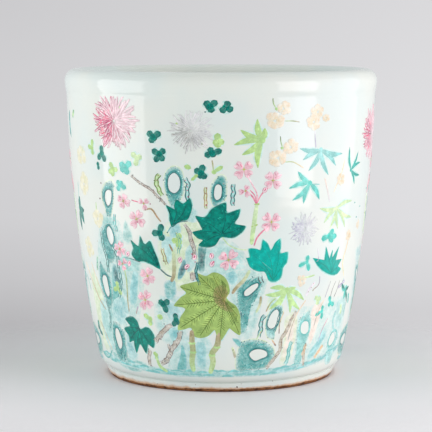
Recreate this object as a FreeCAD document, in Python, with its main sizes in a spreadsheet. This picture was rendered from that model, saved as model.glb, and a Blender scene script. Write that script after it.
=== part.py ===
import FreeCAD, Part
import math
import os
import re
import Sketcher
from FreeCAD import Vector

# A large porcelain jardiniere: a tall planter whose bowed wall widens upwards from a turned foot
# to a thick lip rolled inwards.  It is thrown in sections that are luted end to end with slip
# before the firing, so the sections sit face to face on flat rings round one upright axis.
# All sizes are in millimetres.  The origin is on the axis, in the plane that the foot stands on.

SIZES = [
    # whole pot
    ("pot_height", 388.6, "sole of the foot to the crest of the lip"),
    ("wall_top_radius", 196.0, "outside of the wall where the lip section starts"),
    ("wall_low_radius", 156.7, "outside of the wall where it meets the rounded shoulder"),
    ("wall_bow_radius", 1880.0, "radius of the wall's gentle outward bow, seen from the side"),
    ("wall_thickness", 12.0, "wall, measured square to its face"),
    # where one thrown section is luted to the next
    ("foot_height", 11.8, "sole to the top of the foot ring"),
    ("base_joint_height", 84.0, "top of the base section"),
    ("mid_joint_height", 200.0, "top of the lower wall section"),
    ("rim_height", 33.6, "depth of the lip section, below the crest"),
    # turned foot
    ("foot_inset", 10.3, "how far the top of the foot stands in from the wall above"),
    ("foot_width", 23.0, "radial width of the ring that carries the base"),
    ("foot_band_lean", 1.7, "how far the glazed band leans out on its way up"),
    ("bare_edge_height", 4.6, "height of the bevel that is left without glaze"),
    ("bare_edge_run", 2.9, "radial width of that bevel"),
    ("foot_inner_lean", 3.5, "how far the inside of the foot spreads on its way down"),
    ("sole_inner_bevel", 2.0, "bevel between the sole and the inside of the foot"),
    ("groove_bevel", 1.2, "bevel that makes the fine groove above the foot"),
    # base section
    ("shoulder_height", 26.0, "height where the rounded shoulder runs out into the wall"),
    ("floor_thickness", 14.0, "floor of the pot"),
    ("cove_radius", 22.0, "inside rounding between floor and wall"),
    ("drain_radius", 13.0, "drain hole in the middle of the floor"),
    # rolled lip
    ("rim_skirt", 4.0, "plain wall at the bottom of the lip section, below its neck"),
    ("neck_rounding", 12.0, "soft hollow between the wall and the lip"),
    ("lip_overhang", 2.4, "how far the lip stands out past the wall"),
    ("lip_outer_round", 14.6, "rounding from the widest point up to the crest"),
    ("lip_inner_round", 12.0, "rounding from the crest in to the mouth"),
    ("lip_under_bevel", 6.0, "bevel from the mouth back under the roll"),
    ("undercut_drop", 4.0, "how far the underside of the roll falls on its way back to the wall"),
]

START, END, CENTRE = 1, 2, 3
ORIGIN = (-1, START)
QUARTER = math.pi / 2

document = FreeCAD.newDocument("jardiniere")
sheet = document.addObject("Spreadsheet::Sheet", "Sizes")


def fill_sheet():
    """Writes one row for each size: its name, its value and what it measures."""
    for row, (name, value, meaning) in enumerate(SIZES, start=1):
        sheet.set(f"A{row}", name)
        sheet.set(f"B{row}", str(value))
        sheet.set(f"C{row}", meaning)
        sheet.setAlias(f"B{row}", name)
    document.recompute()


def size(name):
    """The value that the sheet holds under this name."""
    return float(getattr(sheet, name))


def bind(owner, path, formula):
    """Ties a property to a formula whose words are names in the sheet."""
    owner.setExpression(path, re.sub(r"[a-z]\w*", r"Sizes.\g<0>", formula))


# --- first positions of the wall, from which each sketch is solved ---------------------------


def bow_centre():
    """Centre of the circle that the wall's outline follows, as radius and height."""
    low = Vector(size("wall_low_radius"), size("shoulder_height"), 0)
    top = Vector(size("wall_top_radius"), size("pot_height") - size("rim_height"), 0)
    chord = top - low
    reach = math.sqrt(size("wall_bow_radius") ** 2 - (chord.Length / 2) ** 2)
    inwards = Vector(-chord.y, chord.x, 0).normalize()
    return (low + top) / 2 + inwards * reach


def wall_point(height, depth=0.0):
    """Point of the wall at this height, as far in from the outer face as depth."""
    centre = bow_centre()
    bow = size("wall_bow_radius") - depth
    rise = height - centre.y
    return Vector(centre.x + math.sqrt(bow**2 - rise**2), height, 0)


def angle_of(point, centre):
    """Direction from the centre to the point."""
    return math.atan2(point.y - centre.y, point.x - centre.x)


# --- drawing an outline -------------------------------------------------------------------------


def section_sketch(body, name):
    """Sketch in the body's own upright plane, with radius to the right and height upwards."""
    sketch = body.newObject("Sketcher::SketchObject", name)
    upright = [p for p in body.Origin.OriginFeatures if p.Role == "XZ_Plane"][0]
    sketch.AttachmentSupport = (upright, [""])
    sketch.MapMode = "FlatFace"
    return sketch


def line(sketch, start, end):
    """Straight edge between two points."""
    return sketch.addGeometry(Part.LineSegment(start, end), False)


def arc(sketch, centre, radius, start_angle, end_angle, guide=False):
    """Arc that runs anticlockwise from one angle to the other."""
    circle = Part.Circle(centre, Vector(0, 0, 1), radius)
    return sketch.addGeometry(Part.ArcOfCircle(circle, start_angle, end_angle), guide)


def fix(sketch, kind, edge, end, formula):
    """Sets the radius (DistanceX) or the height (DistanceY) of one end of an edge."""
    point = sketch.getPoint(edge, end)
    value = point.x if kind == "DistanceX" else point.y
    index = sketch.addConstraint(Sketcher.Constraint(kind, *ORIGIN, edge, end, value))
    bind(sketch, f"Constraints[{index}]", formula)


def fix_point(sketch, edge, end, radius, height):
    """Sets both the radius and the height of one end of an edge."""
    fix(sketch, "DistanceX", edge, end, radius)
    fix(sketch, "DistanceY", edge, end, height)


def fix_bend(sketch, edge, formula):
    """Sets the radius of curvature of an arc."""
    bend = sketch.Geometry[edge].Radius
    index = sketch.addConstraint(Sketcher.Constraint("Radius", edge, bend))
    bind(sketch, f"Constraints[{index}]", formula)


def join(sketch, first, first_end, second, second_end):
    """Makes two edges meet at a corner."""
    sketch.addConstraint(Sketcher.Constraint("Coincident", first, first_end, second, second_end))


def blend(sketch, first, first_end, second, second_end):
    """Makes two edges meet and run on into each other."""
    sketch.addConstraint(Sketcher.Constraint("Tangent", first, first_end, second, second_end))


def wall_guide(sketch):
    """Guide arc along the outside of the wall, from the shoulder to the lip section."""
    centre = bow_centre()
    low = wall_point(size("shoulder_height"))
    top = wall_point(size("pot_height") - size("rim_height"))
    angles = [angle_of(point, centre) for point in (low, top)]
    guide = arc(sketch, centre, size("wall_bow_radius"), *angles, guide=True)
    fix_point(sketch, guide, START, "wall_low_radius", "shoulder_height")
    fix_point(sketch, guide, END, "wall_top_radius", "pot_height - rim_height")
    fix_bend(sketch, guide, "wall_bow_radius")
    return guide


def wall_edge(sketch, guide, low, top, depth=0.0):
    """Edge of the wall between two heights: its outer face, or its inner one at a depth."""
    centre = bow_centre()
    angles = [angle_of(wall_point(height, depth), centre) for height in (low, top)]
    edge = arc(sketch, centre, size("wall_bow_radius") - depth, *angles)
    join(sketch, edge, CENTRE, guide, CENTRE)
    if depth:
        fix_bend(sketch, edge, "wall_bow_radius - wall_thickness")
    else:
        sketch.addConstraint(Sketcher.Constraint("Equal", edge, guide))
    return edge


def revolve(body, sketch):
    """Turns the outline once round the upright axis."""
    document.recompute()
    turned = body.newObject("PartDesign::Revolution", sketch.Name + "_turned")
    turned.Profile = sketch
    turned.ReferenceAxis = (sketch, ["V_Axis"])
    turned.Angle = 360.0
    sketch.Visibility = False
    document.recompute()
    return turned


def new_section(label):
    """Body for one thrown section of the pot."""
    body = document.addObject("PartDesign::Body", label)
    body.Label = label
    body.Placement = FreeCAD.Placement()
    return body


# --- the five sections --------------------------------------------------------------------------


def foot_ring():
    """Turned ring under the base, with a bare bevel at the sole and a glazed band above it."""
    body = new_section("foot_ring")
    sketch = section_sketch(body, "foot_outline")
    top = size("foot_height")
    outer = size("wall_low_radius") - size("foot_inset")
    groove_bevel = size("groove_bevel")
    bevel_top = Vector(outer - size("foot_band_lean"), size("bare_edge_height"), 0)
    sole_outer = Vector(bevel_top.x - size("bare_edge_run"), 0, 0)
    inner_top = Vector(outer - groove_bevel - size("foot_width"), top, 0)
    inner_low = Vector(inner_top.x + size("foot_inner_lean"), size("sole_inner_bevel"), 0)
    sole_inner = Vector(inner_low.x + size("sole_inner_bevel"), 0, 0)
    band_top = Vector(outer, top - groove_bevel, 0)
    joint_outer = Vector(outer - groove_bevel, top, 0)

    sole = line(sketch, sole_inner, sole_outer)
    bare_bevel = line(sketch, sole_outer, bevel_top)
    band = line(sketch, bevel_top, band_top)
    groove = line(sketch, band_top, joint_outer)
    joint_face = line(sketch, joint_outer, inner_top)
    inside = line(sketch, inner_top, inner_low)
    inner_bevel = line(sketch, inner_low, sole_inner)

    join(sketch, sole, END, bare_bevel, START)
    join(sketch, bare_bevel, END, band, START)
    join(sketch, band, END, groove, START)
    join(sketch, groove, END, joint_face, START)
    join(sketch, joint_face, END, inside, START)
    join(sketch, inside, END, inner_bevel, START)
    join(sketch, inner_bevel, END, sole, START)

    outside = "wall_low_radius - foot_inset"
    inner = f"{outside} - groove_bevel - foot_width"
    fix_point(sketch, sole, END, f"{outside} - foot_band_lean - bare_edge_run", "0")
    fix_point(sketch, band, START, f"{outside} - foot_band_lean", "bare_edge_height")
    fix_point(sketch, band, END, outside, "foot_height - groove_bevel")
    fix_point(sketch, groove, END, f"{outside} - groove_bevel", "foot_height")
    fix_point(sketch, inside, START, inner, "foot_height")
    fix_point(sketch, inside, END, f"{inner} + foot_inner_lean", "sole_inner_bevel")
    fix_point(sketch, sole, START, f"{inner} + foot_inner_lean + sole_inner_bevel", "0")
    revolve(body, sketch)
    return body


def base_dish():
    """Base section: the floor with its drain hole, coved up into the foot of the wall."""
    body = new_section("base_dish")
    sketch = section_sketch(body, "base_outline")
    guide = wall_guide(sketch)
    joint = size("base_joint_height")
    underside = size("foot_height")
    floor = underside + size("floor_thickness")
    shoulder = size("shoulder_height")
    cove = size("cove_radius")
    drain = size("drain_radius")
    groove = Vector(size("wall_low_radius") - size("foot_inset") - size("groove_bevel"), underside, 0)

    # The shoulder's circle runs through the groove and touches the wall at shoulder height.
    outwards = (wall_point(shoulder) - bow_centre()).normalize()
    across = wall_point(shoulder) - groove
    shoulder_bend = across.Length**2 / (2 * across.dot(outwards))
    shoulder_centre = wall_point(shoulder) - outwards * shoulder_bend
    low_angle = angle_of(groove, shoulder_centre)
    lean = angle_of(wall_point(shoulder), bow_centre())
    cove_top = wall_point(floor + cove, size("wall_thickness"))
    cove_centre = Vector(cove_top.x - cove, floor + cove, 0)

    wall_outside = wall_edge(sketch, guide, shoulder, joint)
    wall_inside = wall_edge(sketch, guide, cove_top.y, joint, size("wall_thickness"))
    joint_face = line(sketch, wall_point(joint), wall_point(joint, size("wall_thickness")))
    round_shoulder = arc(sketch, shoulder_centre, shoulder_bend, low_angle, lean)
    round_cove = arc(sketch, cove_centre, cove, -QUARTER, lean)
    floor_face = line(sketch, Vector(drain, floor, 0), Vector(cove_centre.x, floor, 0))
    drain_wall = line(sketch, Vector(drain, underside, 0), Vector(drain, floor, 0))
    under_face = line(sketch, groove, Vector(drain, underside, 0))

    fix(sketch, "DistanceY", wall_outside, START, "shoulder_height")
    fix(sketch, "DistanceY", wall_outside, END, "base_joint_height")
    fix(sketch, "DistanceY", wall_inside, END, "base_joint_height")
    join(sketch, joint_face, START, wall_outside, END)
    join(sketch, joint_face, END, wall_inside, END)
    blend(sketch, round_shoulder, END, wall_outside, START)
    blend(sketch, round_cove, END, wall_inside, START)
    blend(sketch, floor_face, END, round_cove, START)
    fix_bend(sketch, round_cove, "cove_radius")
    fix_point(sketch, floor_face, START, "drain_radius", "foot_height + floor_thickness")
    sketch.addConstraint(Sketcher.Constraint("Horizontal", floor_face))
    join(sketch, drain_wall, END, floor_face, START)
    join(sketch, drain_wall, START, under_face, END)
    join(sketch, under_face, START, round_shoulder, START)
    fix_point(sketch, drain_wall, START, "drain_radius", "foot_height")
    fix_point(sketch, under_face, START, "wall_low_radius - foot_inset - groove_bevel", "foot_height")
    revolve(body, sketch)
    return body


def wall_section(label, low, low_formula, top, top_formula):
    """Plain thrown section of the bowed wall between two joints."""
    body = new_section(label)
    sketch = section_sketch(body, label + "_outline")
    guide = wall_guide(sketch)
    depth = size("wall_thickness")
    outside = wall_edge(sketch, guide, low, top)
    inside = wall_edge(sketch, guide, low, top, depth)
    low_face = line(sketch, wall_point(low, depth), wall_point(low))
    top_face = line(sketch, wall_point(top), wall_point(top, depth))
    for edge in (outside, inside):
        fix(sketch, "DistanceY", edge, START, low_formula)
        fix(sketch, "DistanceY", edge, END, top_formula)
    join(sketch, low_face, START, inside, START)
    join(sketch, low_face, END, outside, START)
    join(sketch, top_face, START, outside, END)
    join(sketch, top_face, END, inside, END)
    revolve(body, sketch)
    return body


def rolled_rim():
    """Lip section: a full roll that stands out a little and folds well in over the wall."""
    body = new_section("rolled_rim")
    sketch = section_sketch(body, "rim_outline")
    guide = wall_guide(sketch)
    crest = size("pot_height")
    joint = crest - size("rim_height")
    depth = size("wall_thickness")
    outer_round = size("lip_outer_round")
    inner_round = size("lip_inner_round")
    under_bevel = size("lip_under_bevel")
    widest = Vector(size("wall_top_radius") + size("lip_overhang"), crest - outer_round, 0)
    crest_radius = widest.x - outer_round
    mouth = crest_radius - inner_round
    under_corner = Vector(mouth + under_bevel, crest - inner_round - under_bevel, 0)
    wall_inner = wall_point(under_corner.y - size("undercut_drop"), depth)

    # The hollow neck leaves the wall above the skirt, and the swelling that it runs into is the
    # one circle that touches the neck and is upright at the widest point.
    neck_bend = size("neck_rounding")
    wall_top = wall_point(joint + size("rim_skirt"))
    neck_centre = wall_top + (wall_top - bow_centre()).normalize() * neck_bend
    aside = neck_centre - widest
    swell_bend = (aside.Length**2 - neck_bend**2) / (2 * (neck_bend - aside.x))
    swell_centre = Vector(widest.x - swell_bend, widest.y, 0)
    neck_angle = angle_of(neck_centre, swell_centre)
    wall_angle = angle_of(wall_top, neck_centre) % (4 * QUARTER)

    outside = wall_edge(sketch, guide, joint, wall_top.y)
    neck = arc(sketch, neck_centre, neck_bend, neck_angle + 2 * QUARTER, wall_angle)
    swelling = arc(sketch, swell_centre, swell_bend, neck_angle, 0)
    lip_outside = arc(sketch, Vector(crest_radius, widest.y, 0), outer_round, 0, QUARTER)
    inner_centre = Vector(crest_radius, crest - inner_round, 0)
    lip_inside = arc(sketch, inner_centre, inner_round, QUARTER, 2 * QUARTER)
    lip_under = line(sketch, Vector(mouth, crest - inner_round, 0), under_corner)
    under_face = line(sketch, under_corner, wall_inner)
    inside = wall_edge(sketch, guide, joint, wall_inner.y, depth)
    joint_face = line(sketch, wall_point(joint, depth), wall_point(joint))

    blend(sketch, outside, END, neck, END)
    blend(sketch, neck, START, swelling, START)
    blend(sketch, swelling, END, lip_outside, START)
    blend(sketch, lip_outside, END, lip_inside, START)
    join(sketch, lip_inside, END, lip_under, START)
    join(sketch, lip_under, END, under_face, START)
    join(sketch, under_face, END, inside, END)
    join(sketch, joint_face, START, inside, START)
    join(sketch, joint_face, END, outside, START)

    widest_radius = "wall_top_radius + lip_overhang"
    mouth_radius = f"{widest_radius} - lip_outer_round - lip_inner_round"
    corner_height = "pot_height - lip_inner_round - lip_under_bevel"
    fix(sketch, "DistanceY", outside, START, "pot_height - rim_height")
    fix(sketch, "DistanceY", outside, END, "pot_height - rim_height + rim_skirt")
    fix(sketch, "DistanceY", inside, START, "pot_height - rim_height")
    fix_bend(sketch, neck, "neck_rounding")
    fix_point(sketch, lip_outside, START, widest_radius, "pot_height - lip_outer_round")
    fix_point(sketch, lip_outside, END, f"{widest_radius} - lip_outer_round", "pot_height")
    fix(sketch, "DistanceX", lip_outside, CENTRE, f"{widest_radius} - lip_outer_round")
    fix_bend(sketch, lip_inside, "lip_inner_round")
    fix(sketch, "DistanceY", lip_inside, END, "pot_height - lip_inner_round")
    fix_point(sketch, lip_under, END, f"{mouth_radius} + lip_under_bevel", corner_height)
    fix(sketch, "DistanceY", inside, END, f"{corner_height} - undercut_drop")
    revolve(body, sketch)
    return body


# --- build, check and write ---------------------------------------------------------------------


def check(bodies):
    """Stops the build if a feature failed, a sketch is loose or a section is not one solid."""
    for item in document.Objects:
        if {"Invalid", "Error"} & set(item.State):
            raise RuntimeError(f"{item.Label} did not build: {item.State}")
        if item.TypeId == "Sketcher::SketchObject" and not item.FullyConstrained:
            raise RuntimeError(f"{item.Label} is not fully constrained")
    for body in bodies:
        shape = body.Shape
        if shape.isNull() or not shape.isValid() or len(shape.Solids) != 1:
            raise RuntimeError(f"{body.Label} is not one valid solid")


def write(bodies):
    """Writes one STEP file for each section and prints its volume."""
    os.makedirs("parts", exist_ok=True)
    for body in bodies:
        body.Shape.exportStep(f"parts/{body.Label}.step")
        box = body.Shape.optimalBoundingBox()
        litres = body.Shape.Volume / 1e6
        print(f"{body.Label}: {litres:.3f} l of clay, height {box.ZMin:.1f} to {box.ZMax:.1f} mm")


def build():
    """Makes the whole pot from the sole of the foot to the crest of the lip."""
    fill_sheet()
    rim_joint = size("pot_height") - size("rim_height")
    base_joint = size("base_joint_height")
    mid_joint = size("mid_joint_height")
    bodies = [
        foot_ring(),
        base_dish(),
        wall_section("lower_wall", base_joint, "base_joint_height", mid_joint, "mid_joint_height"),
        wall_section("upper_wall", mid_joint, "mid_joint_height", rim_joint, "pot_height - rim_height"),
        rolled_rim(),
    ]
    document.recompute()
    check(bodies)
    write(bodies)


build()
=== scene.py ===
# %% [markdown]
# # A porcelain jardiniere with an enamelled garden
#
# The object is one large fired pot.  A potter threw its foot, base, wall and lip as sections,
# joined them with slip, glazed the pot white, and fired it.  A painter then laid a garden of
# rocks, leaves and flowers over the glaze in enamels, which a second firing melted on.
#
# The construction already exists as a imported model, which this script loads as a fixed frame.
# Here we make what the eye sees: the turned skins of the five sections, the glaze, and the
# painting as thin raised enamel.  Sizes are in millimetres, and meshes are made in metres.

# %% Load the frame
import bpy
import math
import numpy as np
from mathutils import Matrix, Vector


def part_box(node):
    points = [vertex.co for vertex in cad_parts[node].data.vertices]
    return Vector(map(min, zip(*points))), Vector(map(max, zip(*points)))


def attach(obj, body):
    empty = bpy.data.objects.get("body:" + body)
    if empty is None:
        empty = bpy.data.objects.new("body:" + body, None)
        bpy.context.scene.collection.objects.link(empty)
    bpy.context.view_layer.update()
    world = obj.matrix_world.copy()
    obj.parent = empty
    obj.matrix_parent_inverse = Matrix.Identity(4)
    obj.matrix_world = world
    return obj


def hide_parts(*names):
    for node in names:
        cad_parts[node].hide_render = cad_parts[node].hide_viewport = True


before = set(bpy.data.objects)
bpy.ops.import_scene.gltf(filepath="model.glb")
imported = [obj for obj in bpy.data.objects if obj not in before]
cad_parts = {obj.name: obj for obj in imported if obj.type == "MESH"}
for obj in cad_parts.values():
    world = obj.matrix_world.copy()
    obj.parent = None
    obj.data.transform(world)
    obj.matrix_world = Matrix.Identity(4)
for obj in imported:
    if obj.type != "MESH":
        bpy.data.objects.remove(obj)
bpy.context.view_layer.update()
MM = 0.001
TURN = 2 * math.pi
print("sections:", ", ".join(sorted(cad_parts)))

# %% [markdown]
# ## The sizes that everything hangs from
#
# Heights of the joints come straight from the frame, so the skins meet where the solids meet.
# The outline of the wall is a shallow bow: part of a circle almost two metres in radius.  A
# formula for it lets the wall, the lip and every brush stroke agree on where the surface is.

# %% Sizes of the turned form
lip_low, lip_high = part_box("rolled_rim")
base_low, base_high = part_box("base_dish")
pot_height = lip_high.z / MM
lip_joint = lip_low.z / MM
base_joint = base_high.z / MM
mid_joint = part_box("lower_wall")[1].z / MM
foot_height = base_low.z / MM
widest_radius = lip_high.x / MM
lip_overhang = 2.4
wall_top_radius = widest_radius - lip_overhang
wall_low_radius = 156.7
shoulder_height = 26.0
wall_bow = 1880.0
wall_thickness = 12.0


def bow_centre():
    """Centre of the circle that the outside of the wall follows: radius and height."""
    low = np.array([wall_low_radius, shoulder_height])
    top = np.array([wall_top_radius, lip_joint])
    chord = top - low
    length = np.linalg.norm(chord)
    inwards = np.array([-chord[1], chord[0]]) / length
    return (low + top) / 2 + inwards * math.sqrt(wall_bow**2 - (length / 2) ** 2)


bow_r, bow_h = bow_centre()


def wall_radius(height, depth=0.0):
    """Radius of the wall at a height, or of the line that lies a depth behind its face."""
    return bow_r + np.sqrt((wall_bow - depth) ** 2 - (np.asarray(height) - bow_h) ** 2)


print(f"pot {pot_height:.1f} mm high, wall {2 * wall_radius(200):.1f} mm across at mid height")

# %% [markdown]
# ## The hand in the clay
#
# A thrown wall is never a perfect surface of revolution.  It is a little oval, it leans and
# swells by a tenth of a millimetre here and there, and the throwing rings run round it.  Bump
# maps could fake this, but reflections follow the real surface, so the shape itself moves.
# The shift only ever goes inwards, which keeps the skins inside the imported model's box.

# %% How far the surface strays from the true form
OVAL = 0.30
SWELL = 0.09
RING = 0.014


def outer_stray(angle, height):
    """Outward shift of the outer face, in mm, never above zero."""
    oval = np.cos(2 * angle - 0.7) + 0.5 * np.cos(3 * angle + 0.4)
    swell = np.sin(4 * angle + height / 23) + np.sin(-3 * angle + height / 31 + 1.0)
    ring = np.sin(TURN * height / 15 + angle) * (0.6 + 0.4 * np.sin(2 * angle))
    return OVAL * (oval / 1.5 - 1) + SWELL * (swell / 2 - 1) + RING * (ring - 1)


def inner_stray(angle, height):
    """Outward shift of the inner face, where the potter's fingers left wider rings."""
    ring = np.sin(TURN * height / 19 + angle) + 0.4 * np.sin(TURN * height / 7.3 - 2 * angle)
    return 0.22 * ring + 0.12 * np.cos(3 * angle + height / 40)


def ramp(value, start, length):
    """0 up to a start, then rising to 1 over a length."""
    return np.clip((value - start) / length, 0, 1)


def strayed(angle, radius, height):
    """Where a point of the true form really lies, as x, y, z in metres."""
    behind = ramp(wall_radius(height) - radius, 0, wall_thickness)
    outside = (1 - behind) * ramp(height, 1, 10)
    inside = behind * ramp(height - foot_height, 10, 30) * ramp(lip_joint - height, 0, 20)
    shift = outer_stray(angle, height) * outside + inner_stray(angle, height) * inside
    on_floor = (height > foot_height + 6) * (height < 60)
    floor_ring = np.sin(TURN * radius / 17 + angle) * ramp(150 - radius, 0, 20) * ramp(radius, 16, 12)
    up = 0.25 * floor_ring * on_floor
    r = radius + shift
    return np.stack([r * np.sin(angle), -r * np.cos(angle), height + up], -1) * MM


# %% [markdown]
# ## Turning an outline
#
# A potter's section is an outline spun round the axis.  Blender's Screw modifier can spin one,
# but it averages the normals across corners.  We build the rings ourselves: each stretch of
# the outline is a small formula, and its normals are worked out from that same formula.  Two
# sections that share a stretch then shade as one wall, with no seam at the joint.

# %% Stretches of an outline
AROUND = 512


def straight(start, end, rows):
    """Stretch between two (radius, height) points."""
    a, b = np.array(start, float), np.array(end, float)
    return lambda t: a + (b - a) * t[..., None], rows


def curved(centre, radius, first, last, rows):
    """Round stretch between two directions, in degrees."""
    c = np.array(centre, float)

    def place(t):
        turn = np.radians(first + (last - first) * t)
        return c + radius * np.stack([np.cos(turn), np.sin(turn)], -1)

    return place, rows


def along_wall(low, high, depth, rows):
    """Stretch of the bowed wall between two heights, at a depth behind its face."""

    def place(t):
        height = low + (high - low) * t
        return np.stack([wall_radius(height, depth), height], -1)

    return place, rows


def turned(name, outline):
    """Spins a closed outline into a mesh with exact normals on every stretch."""
    angles = np.arange(AROUND) * TURN / AROUND
    points, corners, normals, start = [], [], [], 0
    total = sum(rows for _, rows in outline)
    step = 1e-4
    for place, rows in outline:
        t = np.arange(rows + 1) / rows

        def skin(angle, t):
            spot = place(t)
            return strayed(angle, spot[..., 0], spot[..., 1])

        a, tt = np.meshgrid(angles, t)
        grid = skin(a, tt)
        points.append(grid[:-1].reshape(-1, 3))
        across = skin(a + step, tt) - skin(a - step, tt)
        upward = skin(a, tt + step) - skin(a, tt - step)
        normal = np.cross(across, upward)
        normal /= np.linalg.norm(normal, axis=-1, keepdims=True)
        row, col = np.meshgrid(np.arange(rows), np.arange(AROUND), indexing="ij")
        after = (col + 1) % AROUND
        ring, next_ring = start + row, (start + row + 1) % total
        corners.append(np.stack([ring * AROUND + col, ring * AROUND + after,
                                 next_ring * AROUND + after, next_ring * AROUND + col], -1))
        normals.append(np.stack([normal[row, col], normal[row, after],
                                 normal[row + 1, after], normal[row + 1, col]], -2))
        start += rows
    mesh = bpy.data.meshes.new(name)
    faces = np.concatenate([c.reshape(-1, 4) for c in corners])
    mesh.from_pydata(np.concatenate(points).tolist(), [], faces.tolist())
    mesh.shade_smooth()
    mesh.normals_split_custom_set(np.concatenate([n.reshape(-1, 3) for n in normals]).tolist())
    piece = bpy.data.objects.new(name, mesh)
    bpy.context.collection.objects.link(piece)
    print(f"{name}: {len(faces)} faces")
    return piece


# %% [markdown]
# ## Writing shaders as arithmetic
#
# A finish is a graph of nodes, and a graph is hard to read in code.  This small class wraps an
# output, so that masks and heights can be written as sums and products.  Colours never pass
# through a Math node, which would turn them grey; they go through Mix.

# %% A socket that does arithmetic
class Wire:
    """One output in a finish.  Plain arithmetic on it adds Math nodes."""

    def __init__(self, finish, socket):
        self.finish = finish
        self.socket = socket

    def maths(self, operation, *values):
        return self.finish.node("Math", {"operation": operation}, dict(enumerate(values)))

    def __add__(self, other):
        return self.maths("ADD", self, other)

    def __sub__(self, other):
        return self.maths("SUBTRACT", self, other)

    def __rsub__(self, other):
        return self.maths("SUBTRACT", other, self)

    def __mul__(self, other):
        return self.maths("MULTIPLY", self, other)

    def __truediv__(self, other):
        return self.maths("DIVIDE", self, other)

    def __pow__(self, other):
        return self.maths("POWER", self, other)

    def __abs__(self):
        return self.maths("ABSOLUTE", self)

    __radd__ = __add__
    __rmul__ = __mul__

    def between(self, low, high):
        """0 below low, 1 above high and a soft step between them."""
        ends = {"Value": self, "From Min": low, "From Max": high}
        return self.finish.node("MapRange", {"interpolation_type": "SMOOTHSTEP"}, ends)

    def most(self, other):
        return self.maths("MAXIMUM", self, other)

    def least(self, other):
        return self.maths("MINIMUM", self, other)


# %% A finish and its nodes
class Finish:
    """A material, or a world, whose nodes are added by one method."""

    def __init__(self, name, owner=None):
        self.material = owner or bpy.data.materials.new(name)
        self.material.use_nodes = True
        self.tree = self.material.node_tree
        self.shader = self.tree.nodes.get("Principled BSDF")

    def node(self, kind, settings=None, sockets=None, out=0):
        """Adds a shader node: settings first, then the values or wires of its sockets."""
        made = self.tree.nodes.new("ShaderNode" + kind)
        for key, value in (settings or {}).items():
            if key == "stops":
                self.set_stops(made.color_ramp, value)
            else:
                setattr(made, key, value)
        for key, value in (sockets or {}).items():
            self.feed(made.inputs[key], value)
        return Wire(self, made.outputs[out])

    def axes(self, place):
        """The x, y and z of a place, as three wires."""
        return [self.node("SeparateXYZ", {}, {"Vector": place}, out=axis) for axis in range(3)]

    def set_stops(self, ramp, stops):
        """Gives a colour ramp these (position, colour) stops."""
        while len(ramp.elements) > 1:
            ramp.elements.remove(ramp.elements[-1])
        for index, (place, colour) in enumerate(stops):
            stop = ramp.elements[0] if index == 0 else ramp.elements.new(place)
            stop.position = place
            stop.color = (*colour, 1.0)

    def feed(self, socket, value):
        """Links a wire to a socket, or sets the socket to a value."""
        if isinstance(value, Wire):
            self.tree.links.new(value.socket, socket)
        elif hasattr(value, "__len__") and len(value) == 3 and socket.type == "RGBA":
            socket.default_value = (*value, 1.0)
        else:
            socket.default_value = value

    def mix(self, factor, first, second, kind="MIX"):
        """Colour between two colours."""
        settings = {"data_type": "RGBA", "blend_type": kind}
        return self.node("Mix", settings, {0: factor, 6: first, 7: second}, out=2)

    def noise(self, place, grain, detail=2.0, roughness=0.5):
        """Cloudy pattern from 0 to 1 whose lumps are about grain millimetres wide."""
        sockets = {"Vector": place, "Scale": 1 / (grain * MM), "Detail": detail,
                   "Roughness": roughness}
        return self.node("TexNoise", {}, sockets)

    def speckle(self, place, spacing, size):
        """1 inside round specks of about size mm that lie about spacing mm apart."""
        cells = self.node("TexVoronoi", {}, {"Vector": place, "Scale": 1 / (spacing * MM)})
        reach = size / spacing / 2
        return 1 - cells.between(reach * 0.6, reach)

    def relief(self, height):
        """Normal of a surface raised by this height in millimetres."""
        return self.node("Bump", {}, {"Height": height, "Distance": MM, "Strength": 1.0})

    def shade(self, **sockets):
        """Feeds the shader's sockets, named in plain words with underscores."""
        for key, value in sockets.items():
            self.feed(self.shader.inputs[key.replace("_", " ").title().replace("Ior", "IOR")], value)


# %% Colours
def colour(red, green, blue):
    """Linear colour from the 0 to 255 numbers that a painter's chart would give."""
    def linear(part):
        part = part / 255
        return part / 12.92 if part <= 0.04045 else ((part + 0.055) / 1.055) ** 2.4
    return tuple(linear(part) for part in (red, green, blue))


# %% [markdown]
# ## The white glaze
#
# Old white porcelain is not neutral: its glaze is faintly green, greener where it pools, and it
# carries pinholes, grey clouds and iron specks.  The same colour is needed twice, on the bare
# glaze and under the thin edges of the enamel, so one function builds it for both.

# %% Colour and relief of the glaze
GLAZE = colour(232, 239, 234)
GLAZE_COOL = colour(222, 234, 231)
GLAZE_WARM = colour(236, 238, 228)
IRON = colour(92, 60, 34)
GLASS_IOR = 1.5


def glaze_colour(finish, place):
    """Faintly green white with clouds and a few iron specks."""
    cloud = finish.noise(place, 90, detail=3)
    tint = finish.mix(cloud.between(0.35, 0.65), GLAZE_COOL, GLAZE_WARM)
    base = finish.mix(0.55, GLAZE, tint)
    fine = finish.noise(place, 1.4, detail=3)
    base = finish.mix(fine.between(0.2, 0.9) * 0.05, base, colour(196, 205, 200))
    rare = finish.noise(place, 60, detail=1).between(0.56, 0.66)
    specks = finish.speckle(place, 16, 0.9) * rare
    return finish.mix(specks * 0.7, base, IRON)


def glaze_relief(finish, place):
    """Orange peel and pinholes, as a height from about 0 to 1."""
    peel = finish.noise(place, 3.0, detail=2) * 0.5 + finish.noise(place, 9.0, detail=1)
    pits = finish.speckle(place, 9, 0.5)
    return peel - pits * 1.5


def glaze_gloss(finish, place):
    """Roughness of the glaze: almost a mirror, a little duller in clouds."""
    return 0.05 + finish.noise(place, 22, detail=2) * 0.05


# %% [markdown]
# ## Glaze, bare foot and biscuit in one finish
#
# The glaze stops just above the sole, where it was wiped off so that the pot would not stick
# in the kiln.  The clay there burnt iron brown, and the glaze edge next to it flushed orange.
# One material for all sections keeps that line continuous: height and radius, read from the
# object's own coordinates, say where the glaze ends, and noise makes the line wander.

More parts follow.
